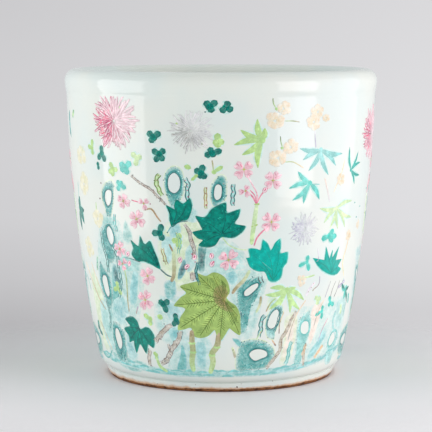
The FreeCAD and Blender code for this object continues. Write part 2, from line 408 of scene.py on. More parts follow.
# %% The pottery finish
bare_edge_height = 4.6
foot_inner_radius = 125.7
kiln_specks = [
    # place across, height and radius in mm, on the front of the foot
    (19.5, 6.4, 1.3), (24.5, 10.5, 0.5), (-31.0, 9.2, 0.5), (63.0, 11.4, 0.45), (-78.0, 6.0, 0.6),
]


def pottery():
    """Glazed body with a bare foot and an unglazed underside."""
    f = Finish("glazed_porcelain_and_bare_foot")
    place = f.node("TexCoord", out=3)
    x, y, z = (axis / MM for axis in f.axes(place))
    radius = (x * x + y * y) ** 0.5

    wander = f.noise(place, 9, detail=4, roughness=0.6) - 0.5
    fine = f.noise(place, 1.6, detail=3) - 0.5
    edge = z + wander * 5.0 + fine * 1.2
    bare_outside = 1 - edge.between(bare_edge_height - 1.3, bare_edge_height - 0.5)
    under = (1 - radius.between(foot_inner_radius + 0.5, foot_inner_radius + 2.5)) \
        * (1 - z.between(foot_height + 0.6, foot_height + 2.0))
    bare = bare_outside.most(under)
    warm = f.noise(place, 45, detail=2).between(0.3, 0.7) * 0.4 + (0.1 - x * 0.0055).most(0.0)
    flush_top = bare_edge_height + 1.6 + warm * 3.4
    flush = (1 - edge.between(bare_edge_height - 0.8, flush_top)) * (1 - under)

    white = glaze_colour(f, place)
    # Painted shade, partly glaze pooling: a darker grey-green band in the groove where the wall overhangs
    # the foot.
    pool = 1 - abs(z - foot_height - 0.6).between(0.0, 2.6)
    white = f.mix(pool * 0.35, white, colour(196, 206, 200))
    white = f.mix(flush * 0.8, white, colour(212, 150, 86))
    for across, up, size in kiln_specks:
        gap = ((x - across) ** 2 + (z - up) ** 2) ** 0.5 + fine * 0.8
        white = f.mix((1 - gap.between(size * 0.6, size)) * (1 - y.between(-20, 0)), white, IRON)
    scorch = f.noise(place, 5, detail=4).between(0.35, 0.6)
    burnt = f.mix(scorch, colour(84, 46, 16), colour(150, 98, 54))
    burnt = f.mix(z.between(0.0, 1.2), colour(58, 32, 12), burnt)
    cloud = f.noise(place, 14, detail=4).between(0.3, 0.7)
    biscuit = f.mix(cloud, colour(206, 186, 158), colour(180, 152, 120))
    clay = f.mix(under, burnt, biscuit)
    f.shade(base_color=f.mix(bare, white, clay))

    rings = f.node("TexWave", {"wave_type": "RINGS", "rings_direction": "Z"},
                   {"Vector": place, "Scale": 190.0, "Distortion": 1.2, "Detail": 2.0})
    grit = f.noise(place, 0.9, detail=4) + rings * under * 0.7
    smooth = glaze_relief(f, place) * 0.012
    height = smooth * (1 - bare) + grit * bare * 0.28 + (1 - bare) * 0.22
    f.shade(normal=f.relief(height), ior=GLASS_IOR)
    f.shade(roughness=glaze_gloss(f, place) * (1 - bare) + bare * 0.72)
    return f.material


glazed_body = pottery()
print("finish:", glazed_body.name)

# %% [markdown]
# ## The foot and the base
#
# The foot is a low ring trimmed on the wheel.  Its outside leans out a little to a fine groove,
# where the shoulder of the base overhangs it.  Inside, the base is a dish: a flat floor with a
# drain hole, coved up into the wall.

# %% Sizes of the foot and the base
foot_outer_radius = 146.4
groove_bevel = 1.2
groove_radius = foot_outer_radius - groove_bevel
foot_width = 23.0
foot_band_lean = 1.7
bare_edge_run = 2.9
foot_inner_lean = 3.5
sole_inner_bevel = 2.0
floor_height = foot_height + 14.0
cove_radius = 22.0
drain_radius = 13.0


def foot_outline():
    """Closed outline of the foot ring."""
    band_low = (foot_outer_radius - foot_band_lean, bare_edge_height)
    band_top = (foot_outer_radius, foot_height - groove_bevel)
    joint_outer = (groove_radius, foot_height)
    joint_inner = (groove_radius - foot_width, foot_height)
    inner_low = (joint_inner[0] + foot_inner_lean, sole_inner_bevel)
    sole_inner = (inner_low[0] + sole_inner_bevel, 0.0)
    sole_outer = (band_low[0] - bare_edge_run, 0.0)
    return [straight(sole_inner, sole_outer, 3), straight(sole_outer, band_low, 4),
            straight(band_low, band_top, 5), straight(band_top, joint_outer, 2),
            straight(joint_outer, joint_inner, 3), straight(joint_inner, inner_low, 4),
            straight(inner_low, sole_inner, 2)]


def shoulder_arc():
    """Middle and radius of the arc that rounds the wall in to the groove."""
    centre = np.array([bow_r, bow_h])
    meet = np.array([wall_radius(shoulder_height), shoulder_height])
    out = (meet - centre) / np.linalg.norm(meet - centre)
    across = meet - (groove_radius, foot_height)
    bend = across @ across / (2 * across @ out)
    return meet - out * bend, bend


shoulder_middle, shoulder_bend = shoulder_arc()


def base_outline():
    """Closed outline of the base: shoulder, wall, joint, inside, cove, floor, hole, underside."""
    groove = np.array([groove_radius, foot_height])
    meet = np.array([wall_radius(shoulder_height), shoulder_height])
    low_turn = math.degrees(math.atan2(*(groove - shoulder_middle)[::-1]))
    lean = math.degrees(math.atan2(*(meet - shoulder_middle)[::-1]))
    cove_top = floor_height + cove_radius
    cove_centre = (wall_radius(cove_top, wall_thickness) - cove_radius, cove_top)
    inner_joint = (wall_radius(base_joint, wall_thickness), base_joint)
    return [curved(shoulder_middle, shoulder_bend, low_turn, lean, 14),
            along_wall(shoulder_height, base_joint, 0, 14),
            straight((wall_radius(base_joint), base_joint), inner_joint, 2),
            along_wall(base_joint, cove_top, wall_thickness, 8),
            curved(cove_centre, cove_radius, 0, -90, 14),
            straight((cove_centre[0], floor_height), (drain_radius + 1.5, floor_height), 30),
            curved((drain_radius + 1.5, floor_height - 1.5), 1.5, 90, 180, 4),
            straight((drain_radius, floor_height - 1.5), (drain_radius, foot_height), 2),
            straight((drain_radius, foot_height), tuple(groove), 12)]


def place_section(piece, node):
    """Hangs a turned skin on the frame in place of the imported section."""
    piece.data.materials.append(glazed_body)
    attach(piece, "root")
    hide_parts(node)


place_section(turned("turned_foot", foot_outline()), "foot_ring")
place_section(turned("turned_base", base_outline()), "base_dish")

# %% [markdown]
# ## The wall and the lip
#
# Two plain sections make the wall.  The lip is the potter's showpiece: the clay was folded in
# and rolled, so the outline swells from a soft neck to its widest point, goes over the crest
# and comes back under itself.  Each of these is an arc that runs on into the next.  The neck
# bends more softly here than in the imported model, because glaze filled it, and a tighter bend
# would cut a dark gap in the long reflections.

# %% Sizes of the lip
rim_skirt = 0.5
neck_bend = 34.0
lip_outer = 14.6
lip_inner = 12.0
lip_under = 6.0
undercut_drop = 4.0


def wall_outline(low, high):
    """Closed outline of a plain wall section."""
    outer_rows = round((high - low) / 2.6)
    inner_rows = round((high - low) / 3.4)
    inner_low, inner_high = (wall_radius(h, wall_thickness) for h in (low, high))
    return [along_wall(low, high, 0, outer_rows),
            straight((wall_radius(high), high), (inner_high, high), 2),
            along_wall(high, low, wall_thickness, inner_rows),
            straight((inner_low, low), (wall_radius(low), low), 2)]


def lip_outline():
    """Closed outline of the rolled lip."""
    widest = np.array([widest_radius, pot_height - lip_outer])
    centre = np.array([bow_r, bow_h])
    neck_low = lip_joint + rim_skirt
    meet = np.array([wall_radius(neck_low), neck_low])
    neck = meet + (meet - centre) / np.linalg.norm(meet - centre) * neck_bend
    aside = neck - widest
    swell = (aside @ aside - neck_bend**2) / (2 * (neck_bend - aside[0]))
    swell_centre = widest - (swell, 0)
    neck_turn = math.degrees(math.atan2(*(neck - swell_centre)[::-1]))
    meet_turn = math.degrees(math.atan2(*(meet - neck)[::-1])) % 360
    crest_radius = widest_radius - lip_outer
    mouth = crest_radius - lip_inner
    under_height = pot_height - lip_inner - lip_under
    inside_top = under_height - undercut_drop
    return [along_wall(lip_joint, neck_low, 0, 3),
            curved(neck, neck_bend, meet_turn, neck_turn + 180, 6),
            curved(swell_centre, swell, neck_turn, 0, 8),
            curved((crest_radius, pot_height - lip_outer), lip_outer, 0, 90, 16),
            curved((crest_radius, pot_height - lip_inner), lip_inner, 90, 180, 14),
            curved((mouth + lip_under, pot_height - lip_inner), lip_under, 180, 270, 9),
            straight((mouth + lip_under, under_height),
                     (wall_radius(inside_top, wall_thickness), inside_top), 4),
            along_wall(inside_top, lip_joint, wall_thickness, 4),
            straight((wall_radius(lip_joint, wall_thickness), lip_joint),
                     (wall_radius(lip_joint), lip_joint), 2)]


place_section(turned("turned_lower_wall", wall_outline(base_joint, mid_joint)),
              "lower_wall")
place_section(turned("turned_upper_wall", wall_outline(mid_joint, lip_joint)),
              "upper_wall")
place_section(turned("rolled_lip", lip_outline()), "rolled_rim")

# %% [markdown]
# ## The camera
#
# The photograph was taken from a little over two metres, slightly above the pot.  The camera
# comes before the painting, because the painting's places are read through it.

# %% Camera
PHOTO_SIDE = 432
FOCAL_PIXELS = 1848.5
AXIS_PIXEL = 220.76
camera_distance = 2352.9
camera_height = 454.0
camera_pitch = math.radians(6.1665)
camera_aside = -(AXIS_PIXEL - PHOTO_SIDE / 2) / FOCAL_PIXELS * camera_distance

camera_data = bpy.data.cameras.new("photograph_view")
camera_data.sensor_width = 36
camera_data.lens = FOCAL_PIXELS / PHOTO_SIDE * camera_data.sensor_width
camera = bpy.data.objects.new("photograph_view", camera_data)
camera.location = Vector((camera_aside, -camera_distance, camera_height)) * MM
camera.rotation_euler = (math.pi / 2 - camera_pitch, 0, 0)
bpy.context.collection.objects.link(camera)
bpy.context.scene.camera = camera
print(f"camera {camera_distance / 1000:.2f} m away, lens {camera_data.lens:.0f} mm")

# %% [markdown]
# ## Drawing flat, laying on the wall
#
# A pattern is easiest to think of as a flat drawing: so many millimetres across, so many up.
# Flat places are laid on the wall by turning "across" into an angle.  Going the other way, a
# place seen in the photograph is found by following the camera's ray to the wall.

# %% From drawing to wall and from photograph to drawing
BELT = 180.0


def face_radius(height):
    """Radius of the outer face, on the wall or on the shoulder below it."""
    height = np.clip(np.asarray(height, float), foot_height, lip_joint)
    below = shoulder_middle[0] + np.sqrt(shoulder_bend**2 - (height - shoulder_middle[1]) ** 2)
    return np.where(height < shoulder_height, below, wall_radius(height))


def on_wall(flat, lift, side):
    """Places in space for flat places raised by a lift in mm, on one side of the pot."""
    turn, mirror = side
    angle = turn + flat[:, 0] / BELT * (-1 if mirror else 1)
    radius = face_radius(flat[:, 1]) + outer_stray(angle, flat[:, 1]) + lift
    return np.stack([radius * np.sin(angle), -radius * np.cos(angle), flat[:, 1]], 1) * MM


def seen(*pixels):
    """Flat places of the wall seen at these pixels of the photograph."""
    pixel = np.array(pixels, float).reshape(-1, 2)
    right = (pixel[:, 0] - PHOTO_SIDE / 2) / FOCAL_PIXELS
    up = (PHOTO_SIDE / 2 - pixel[:, 1]) / FOCAL_PIXELS
    dip, level = math.sin(camera_pitch), math.cos(camera_pitch)
    ray = np.stack([right, level + up * dip, up * level - dip], 1)
    eye = np.array([camera_aside, -camera_distance, camera_height])
    far = -(ray[:, :2] @ eye[:2]) / (ray[:, :2] ** 2).sum(1)
    near = far - 260
    for _ in range(36):
        middle = (near + far) / 2
        point = eye + ray * middle[:, None]
        inside = np.hypot(point[:, 0], point[:, 1]) < face_radius(point[:, 2])
        near, far = np.where(inside, near, middle), np.where(inside, middle, far)
    angle = np.arctan2(point[:, 0], -point[:, 1])
    return np.stack([angle * BELT, point[:, 2]], 1)


def smooth_line(points, closed=False, step=1.6):
    """Even points along a smooth line through a few given ones."""
    p = np.asarray(points, float)
    if closed:
        p = np.concatenate([p[-1:], p, p[:2]])
    else:
        p = np.concatenate([2 * p[:1] - p[1:2], p, 2 * p[-1:] - p[-2:-1]])
    line = []
    for a, b, c, d in zip(p, p[1:], p[2:], p[3:]):
        gaps = [max(np.linalg.norm(y - x), 1e-6) ** 0.5 for x, y in ((a, b), (b, c), (c, d))]
        t0, t1, t2, t3 = 0, gaps[0], gaps[0] + gaps[1], sum(gaps)
        t = np.linspace(t1, t2, max(2, round(gaps[1] ** 2 / step) + 1))[:-1, None]
        ab = a + (b - a) * (t - t0) / (t1 - t0)
        bc = b + (c - b) * (t - t1) / (t2 - t1)
        cd = c + (d - c) * (t - t2) / (t3 - t2)
        abc = ab + (bc - ab) * (t - t0) / (t2 - t0)
        bcd = bc + (cd - bc) * (t - t1) / (t3 - t1)
        line.append(abc + (bcd - abc) * (t - t1) / (t2 - t1))
    if not closed:
        line.append(p[-2:-1])
    return np.concatenate(line)


# %% [markdown]
# ## Fills and strokes
#
# Overglaze enamel stands a few tenths of a millimetre proud, domed across and feathered at its
# edge.  The painter only ever does two things with the brush, so there are only two methods:
# a fill inside a closed outline, and a stroke along a line.  Colours ride on the vertices, and
# their alpha says how thickly the enamel covers the glaze.

# %% The painter's two moves
WASH, ROCK, RESERVE, LEAF, LINE, PETAL = 0.07, 0.12, 0.17, 0.26, 0.34, 0.38


class Enamel:
    """Enamel in the making: fills and strokes that become one mesh."""

    def __init__(self, name, side):
        self.name, self.side = name, side
        self.places, self.lifts, self.paints, self.faces = [], [], [], []
        self.count, self.order = 0, 0

    def add(self, flat, lift, paint, faces):
        self.order += 1
        self.places.append(flat)
        self.lifts.append(lift + 0.0006 * (self.order % 60))
        self.paints.append(paint)
        self.faces.append(np.asarray(faces) + self.count)
        self.count += len(flat)

    def fill(self, outline, inner, outer=None, lift=LEAF, cover=1.0, soft=False, skirt=0.9, step=1.8,
             ground=None, rim=None, fade=(0.75, 0.45, 0.0)):
        """Fills a closed outline; it fades towards its border, or into the colour under it."""
        ring = smooth_line(outline, closed=True, step=step)
        outer = inner if outer is None else outer
        middle = ring.mean(0)
        spread = ring - middle
        size = np.linalg.norm(spread, axis=1).max()
        out = spread / np.linalg.norm(spread, axis=1, keepdims=True)
        inside = max(2, math.ceil(size / 6))
        reach = list(np.linspace(0, 0.8, inside + 1)[1:]) + [0.92, 1.0]
        rows = [spread * r for r in reach] + [spread + out * skirt]
        fade = [1.0] * inside + (list(fade) if soft else [1.0, 0.95, 0.0])
        height = [lift] * inside + [lift * 0.95, lift * 0.6, -0.05]
        n, m = len(ring), len(rows)
        flat = np.concatenate([middle[None]] + [middle + row for row in rows])
        lifts = np.concatenate([[lift]] + [np.full(n, h) for h in height])
        tone = [min(r, 1.0) ** 2 for r in reach] + [1.0]
        inner, outer = np.array(inner), np.array(outer)
        paints = [np.append(inner, cover)[None]]
        for t, alpha in zip(tone, fade):
            hue = inner + (outer - inner) * t
            if rim is not None and alpha == 0.0:
                hue = np.array(rim)
            if ground is not None:
                hue, alpha = hue * alpha + np.array(ground) * (1 - alpha), 1.0
            paints.append(np.tile(np.append(hue, cover * alpha), (n, 1)))
        k = np.arange(n)
        after = (k + 1) % n
        fan = np.stack([np.zeros(n, int), 1 + k, 1 + after, 1 + after], 1)
        quads = [np.stack([1 + r * n + k, 1 + (r + 1) * n + k, 1 + (r + 1) * n + after,
                           1 + r * n + after], 1) for r in range(m - 1)]
        area = np.cross(spread, np.roll(spread, -1, axis=0)).sum()
        faces = np.concatenate([fan] + quads)
        self.add(flat, lifts, np.concatenate(paints), faces if area > 0 else faces[:, ::-1])

    def stroke(self, points, width, first, last=None, lift=LINE, belly=0.5, fat=0.35,
               cover=1.0, edge=None, closed=False, soft=False, ground=None):
        """Lays a stroke along a line; belly is where it is widest, fat how blunt its ends are."""
        path = smooth_line(points, closed=closed)
        if closed:
            path = np.concatenate([path, path[:1]])
        n = len(path)
        if n < 3:
            path = np.array([path[0], path.mean(0), path[-1]])
            n = 3
        t = np.linspace(0, 1, n)
        along = np.gradient(path, axis=0)
        along /= np.linalg.norm(along, axis=1, keepdims=True)
        side = np.stack([-along[:, 1], along[:, 0]], 1)
        swell = np.where(t < belly, t / belly, (1 - t) / (1 - belly))
        half = width / 2 * np.sin(math.pi / 2 * np.clip(swell, 0, 1)) ** fat
        half = np.full(n, width / 2) if closed else half
        across = [-1.0, -0.7, 0.0, 0.7, 1.0] if width > 1.4 else [-0.7, 0.0, 0.7]
        columns = [-1.0] + across + [1.0]
        hem = min(0.45, 0.15 + width * 0.15)
        flats, lifts, paints = [], [], []
        first = np.array(first)
        last = first if last is None else np.array(last)
        body = first + (last - first) * t[:, None]
        for index, column in enumerate(columns):
            inwards = min(index, len(columns) - 1 - index)
            offset = half * column + (hem * column if inwards == 0 else 0)
            flats.append(path + side * offset[:, None])
            lifts.append(np.full(n, -0.05 if inwards == 0 else lift * (1 - 0.35 * column**2)))
            tone = np.tile(np.array(edge), (n, 1)) if edge is not None and inwards < 2 else body
            alpha = cover * ([0.0, 0.35, 0.8, 1.0] if soft else [0.0, 1.0, 1.0, 1.0])[inwards]
            if ground is not None:
                tone, alpha = tone * alpha + np.array(ground) * (1 - alpha), 1.0
            paints.append(np.concatenate([tone, np.full((n, 1), alpha)], 1))
        m = len(columns)
        row, col = np.meshgrid(np.arange(m - 1), np.arange(n - 1), indexing="ij")
        row, col = row.ravel(), col.ravel()
        faces = np.stack([row * n + col, row * n + col + 1, (row + 1) * n + col + 1,
                          (row + 1) * n + col], 1)
        self.add(np.concatenate(flats), np.concatenate(lifts), np.concatenate(paints), faces)

    def done(self):
        """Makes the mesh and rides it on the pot."""
        if not self.places:
            return 0
        flat, lift = np.concatenate(self.places), np.concatenate(self.lifts)
        faces = np.concatenate(self.faces)
        faces = faces[:, ::-1] if self.side[1] else faces
        mesh = bpy.data.meshes.new(self.name)
        polygons = [f[:3] if f[2] == f[3] else (f[1:] if f[0] == f[1] else f)
                    for f in faces.tolist()]
        mesh.from_pydata(on_wall(flat, lift, self.side).tolist(), [], polygons)
        mesh.shade_smooth()
        paint = mesh.attributes.new("paint", "FLOAT_COLOR", "POINT")
        paint.data.foreach_set("color", np.concatenate(self.paints).astype(np.float32).ravel())
        piece = bpy.data.objects.new(self.name, mesh)
        bpy.context.collection.objects.link(piece)
        mesh.materials.append(enamel_finish)
        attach(piece, "root")
        return len(polygons)


# %% [markdown]
# ## The enamel's finish
#
# Enamel is glass, so it is glossy, but it was brushed on: its colour gathers in streaks and
# thins in between.  Where the vertex alpha is low the glaze shows through, and there the same
# glaze colour is used, so a patch has no visible border.

# %% The enamel's finish
def enamel():
    """Brushed glassy colour over glaze, driven by the vertex colour."""
    f = Finish("overglaze_enamel")
    place = f.node("TexCoord", out=3)
    tint = f.node("VertexColor", {"layer_name": "paint"})
    cover = f.node("VertexColor", {"layer_name": "paint"}, out=1)
    streak = f.noise(place, 2.2, detail=3, roughness=0.6)
    pool = f.noise(place, 7.0, detail=2)
    shade = f.mix(1.0, tint, (0.60, 0.66, 0.68), "MULTIPLY")
    dark = f.mix(streak.between(0.40, 0.80) * 0.30 + pool.between(0.35, 0.75) * 0.30, tint, shade)
    bright = f.mix(1.0, tint, (1.55, 1.42, 1.48), "MULTIPLY")
    light = f.mix((1 - pool.between(0.28, 0.52)) * 0.55, dark, bright)
    strong = 1 - f.node("RGBToBW", {}, {"Color": tint}).between(0.16, 0.42)
    patch, grain = f.noise(place, 5.0, detail=3), f.noise(place, 1.7, detail=2)
    glow = f.mix(1.0, tint, (2.4, 1.55, 1.5), "MULTIPLY")
    deep = f.mix(1.0, tint, (0.4, 0.52, 0.60), "MULTIPLY")
    light = f.mix(strong * patch.between(0.50, 0.70) * 0.6, light, glow)
    light = f.mix(strong * (1 - patch.between(0.34, 0.50)) * 0.7, light, deep)
    light = f.mix(grain.between(0.50, 0.72) * 0.25, light, bright)
    thin = cover * (1 - cover) * 4
    thick = (cover + thin * (streak + pool - 1.0) * 1.1).least(1.0).most(0.0)
    f.shade(base_color=f.mix(thick, glaze_colour(f, place), light))
    rise = glaze_relief(f, place) * 0.012 + streak * cover * 0.03
    f.shade(normal=f.relief(rise), ior=GLASS_IOR)
    f.shade(roughness=glaze_gloss(f, place) + cover * 0.08 + streak * cover * 0.06)
    return f.material


enamel_finish = enamel()
print("finish:", enamel_finish.name)

# %% [markdown]
# ## The painter's palette
#
# These are the enamels of a pink-and-green garden: a strong copper green, a turquoise, a thin
# yellow-green, rose made with gold, a little peach, and a grey-brown for drawing.

# %% Palette
EMERALD, EMERALD_DEEP = colour(0, 142, 124), colour(0, 84, 84)
EMERALD_BRIGHT = colour(20, 190, 164)
LAGOON, LAGOON_PALE = colour(0, 182, 168), colour(96, 214, 198)
TEAL, TEAL_DEEP, TEAL_PALE = colour(98, 188, 182), colour(30, 106, 108), colour(160, 220, 214)
SKY, SKY_PALE = colour(124, 202, 206), colour(178, 230, 226)
SPRING, SPRING_PALE = colour(188, 226, 152), colour(216, 238, 190)
MOSS, OLIVE, OLIVE_BROWN = colour(178, 210, 118), colour(84, 112, 42), colour(166, 142, 100)
ROSE, ROSE_DEEP, ROSE_PALE = colour(230, 122, 152), colour(202, 46, 108), colour(253, 226, 232)
MAGENTA = colour(206, 22, 104)
PEACH_PALE, PEACH = colour(248, 228, 212), colour(252, 214, 168)
CREAM, HEART = colour(248, 236, 182), colour(196, 186, 98)
LILAC, LILAC_PALE = colour(170, 160, 196), colour(236, 233, 238)
BARK, BARK_PALE = colour(98, 64, 60), colour(190, 170, 148)
INK, STONE = colour(84, 78, 78), colour(158, 158, 152)
HALO, GLOW, BLEED = colour(194, 240, 234), colour(222, 242, 194), colour(150, 230, 218)
WHITE = GLAZE


def blend(first, second, share):
    """Colour that lies a share of the way from the first to the second."""
    return tuple(np.array(first) * (1 - share) + np.array(second) * share)


def way(turn):
    """Step of one mm in a direction, measured from straight up, clockwise."""
    return np.array([math.sin(turn), math.cos(turn)])


# %% [markdown]
# ## Rocks
#
# Scholar's rocks stand at the back of the garden: tall, worn, and pierced by holes.  The body
# is a soft turquoise wash, streaked and speckled by the brush, and painted darker on the left of
# the garden as painted shade.  The hole is left white, which painters call a reserve, and a dark
# line goes round it.

# %% How a rock is painted
# Rocks further left than this, in mm across, get painted shade.
LEFT_SHADE_LINE = -75.0


def rock(e, body, hole, light, dark, seed):
    """Pierced rock: wash, streaks, reserved hole and the contour round it."""
    dice = np.random.default_rng(seed)
    body, hole = seen(*body), seen(*hole)
    middle = hole.mean(0)
    # Painted shade: rocks left of the line are painted darker.
    deep = 0.18 if middle[0] < LEFT_SHADE_LINE else 0.04
    e.fill(body, HALO, GLOW, lift=WASH, cover=0.8, soft=True, skirt=4.5, fade=(1, 1, 0))
    e.fill(body, blend(light, dark, 0.24 + deep), blend(light, dark, 0.04 + deep), lift=ROCK,
           cover=0.88, soft=True, skirt=1.6)
    ring = smooth_line(body, closed=True, step=3)
    for k in range(0, len(ring), 2):
        near = middle + (ring[k] - middle) * dice.uniform(0.55, 0.8)
        onward = middle + (ring[(k + 3) % len(ring)] - middle) * dice.uniform(0.6, 0.95)
        between = (near + onward) / 2 + dice.normal(0, 0.6, 2)
        e.stroke([near, between, onward], dice.uniform(0.8, 2.2), blend(dark, light, 0.2), light,
                 lift=RESERVE - 0.02, fat=0.8, cover=dice.uniform(0.3, 0.9), ground=light)
    grains = [(dark, 0.9), (light, 0.9), (TEAL_DEEP, 0.8), (TEAL_PALE, 0.9), (INK, 0.5),
              (HALO, 0.9), (dark, 0.7)]
    for k in range(3 * len(ring)):
        at = middle + (ring[k % len(ring)] - middle) * dice.uniform(0.58, 1.04)
        tone, cover = grains[k % len(grains)]
        e.stroke([at, at + way(dice.uniform(0, 6)) * dice.uniform(0.6, 2.2)], dice.uniform(0.7, 1.7),
                 tone, lift=RESERVE, cover=cover, ground=light if k % 2 else None)
    e.fill(hole, WHITE, WHITE, lift=RESERVE + 0.01, cover=0.0, skirt=0.4)
    e.stroke(middle + (hole - middle) * 1.14, 2.0, blend(dark, light, 0.2), lift=RESERVE + 0.02,
             closed=True, cover=0.75, soft=True, ground=light)
    e.stroke(hole, 1.3, dark, lift=RESERVE + 0.04, closed=True, cover=0.95)


# %% [markdown]
# ## Where the rocks stand
#
# These places were read from the photograph, as pixels across and down.  A smooth line
# passes through them, so an outline needs only the few points where it bends.  Washes lie under
# and between the rocks, and the ground runs along the foot of the wall.

# %% Where the rocks stand
pierced_rocks = [
    # body, hole, light, dark
    ([(175, 167), (181, 171), (183.5, 181), (183, 192), (180, 200), (178, 207), (172, 207),
      (168, 198), (165, 188), (164.5, 178), (168, 170)],
     [(174, 172.5), (178.5, 176), (180.5, 183), (179, 190), (174.5, 193.5), (169.5, 191),
      (167.5, 184), (169, 176)], TEAL, TEAL_DEEP),
    ([(221, 175.5), (225, 178), (226, 188), (225, 198), (220, 204), (214, 206), (211.5, 200),
      (211, 190), (214, 182)],
     [(218, 184), (221.5, 186), (222, 193), (220.5, 198.5), (216.5, 200.5), (214, 197),
      (214, 190), (215.5, 185.5)], TEAL, TEAL_DEEP),
    ([(111, 181), (113, 184), (113, 196), (112, 207), (110, 217), (107, 216), (104.5, 206),
      (102, 198), (102, 190), (105, 184)],
     [(108, 189.5), (111, 191), (111.3, 198), (110, 204), (107.5, 206), (105, 201),
      (104.5, 195), (105.5, 191)], TEAL, TEAL_DEEP),
    ([(109, 223), (113, 228), (116, 238), (115, 250), (113, 262), (108, 262), (105, 250),
      (101, 238), (101, 230), (104, 225)],
     [(108.5, 226), (111, 229), (113.5, 237), (113, 243), (111, 245), (108.5, 241),
      (106.5, 234), (106.5, 228)], TEAL, TEAL_DEEP),
    ([(100, 262), (104, 268), (109, 277), (112, 290), (112, 304), (109.5, 308), (106, 300),
      (102, 290), (99.5, 276)],
     [(103, 275), (106, 276), (108, 284), (109.5, 294), (108, 297), (105.5, 293),
      (103.5, 286), (102, 279)], TEAL, TEAL_DEEP),
    ([(113, 322), (119, 324), (124, 334), (126, 346), (127.5, 356), (124, 361), (120, 361),
      (116, 352), (113, 340), (112, 330)],
     [(115.5, 328), (117.5, 328.5), (120, 334), (122, 342), (121.5, 348), (119.5, 349),
      (117, 343), (115, 334)], TEAL, TEAL_DEEP),
    ([(262, 277), (263, 284), (259, 294), (252, 306), (248, 318), (246, 332), (241, 333),
      (240, 320), (238, 306), (236.5, 294), (241, 284), (250, 278)],
     [(258, 283), (258.5, 286), (254, 291.5), (248, 296), (244.5, 296), (244, 292),
      (249, 287), (254, 284)], TEAL, TEAL_DEEP),
    ([(277.5, 305), (282, 306), (282.5, 314), (279, 324), (275, 331), (274, 338), (268, 337),
      (266, 329), (266.5, 321), (269, 313), (273, 307)],
     [(277, 309), (279, 312), (279, 320), (275, 327), (270.5, 329), (267.5, 326),
      (269, 318), (272.5, 312)], TEAL_PALE, TEAL_DEEP),
    ([(243, 342), (252, 340), (264, 342), (272, 347), (274, 355), (270, 364), (262, 369),
      (250, 370), (238, 371), (236, 362), (238, 352), (240, 345)],
     [(253, 350), (260, 349), (267, 352), (267, 356), (261, 359), (255, 361),
      (250.5, 358), (249, 354)], TEAL, TEAL_DEEP),
    ([(309, 311), (311, 318), (311, 328), (307, 340), (303, 352), (299, 366), (294, 366),
      (296, 352), (296.5, 340), (297, 328), (300, 320), (304, 314)],
     [(304.5, 321), (308, 321.5), (309, 326), (308, 332), (304.5, 334.5), (301, 332.5),
      (300.5, 327), (302, 323)], TEAL_PALE, TEAL),
    ([(336, 329), (338.5, 334), (336, 342), (333, 352), (330, 362), (325, 363), (326, 352),
      (328, 342), (331, 334)],
     [(334, 331), (336.5, 333), (335, 338), (332, 344), (329, 346), (328.5, 342),
      (330.5, 336)], SKY_PALE, TEAL),
]

under_washes = [
    # outline, tone, cover
    ([(91, 268), (98, 280), (110, 326), (112, 350), (104, 345), (96, 310)], GLOW, 0.6),
    ([(102, 222), (118, 222), (126, 250), (142, 268), (140, 310), (130, 356), (112, 358), (104, 320),
      (98, 270)], TEAL_PALE, 0.5),
    ([(196, 242), (226, 240), (248, 262), (242, 286), (196, 282)], TEAL_PALE, 0.55),
    ([(164, 226), (200, 220), (200, 270), (178, 290), (160, 262)], GLOW, 0.6),
    ([(158, 300), (182, 300), (186, 334), (166, 342), (156, 326)], TEAL_PALE, 0.45),
    ([(232, 270), (266, 272), (262, 300), (250, 338), (238, 336)], TEAL_PALE, 0.5),
    ([(290, 312), (312, 306), (344, 300), (338, 350), (318, 364), (292, 368)], SKY_PALE, 0.35),
    ([(172, 340), (190, 338), (190, 374), (172, 376)], TEAL_PALE, 0.5),
    ([(194, 336), (208, 338), (210, 372), (196, 374)], SKY_PALE, 0.5),
]

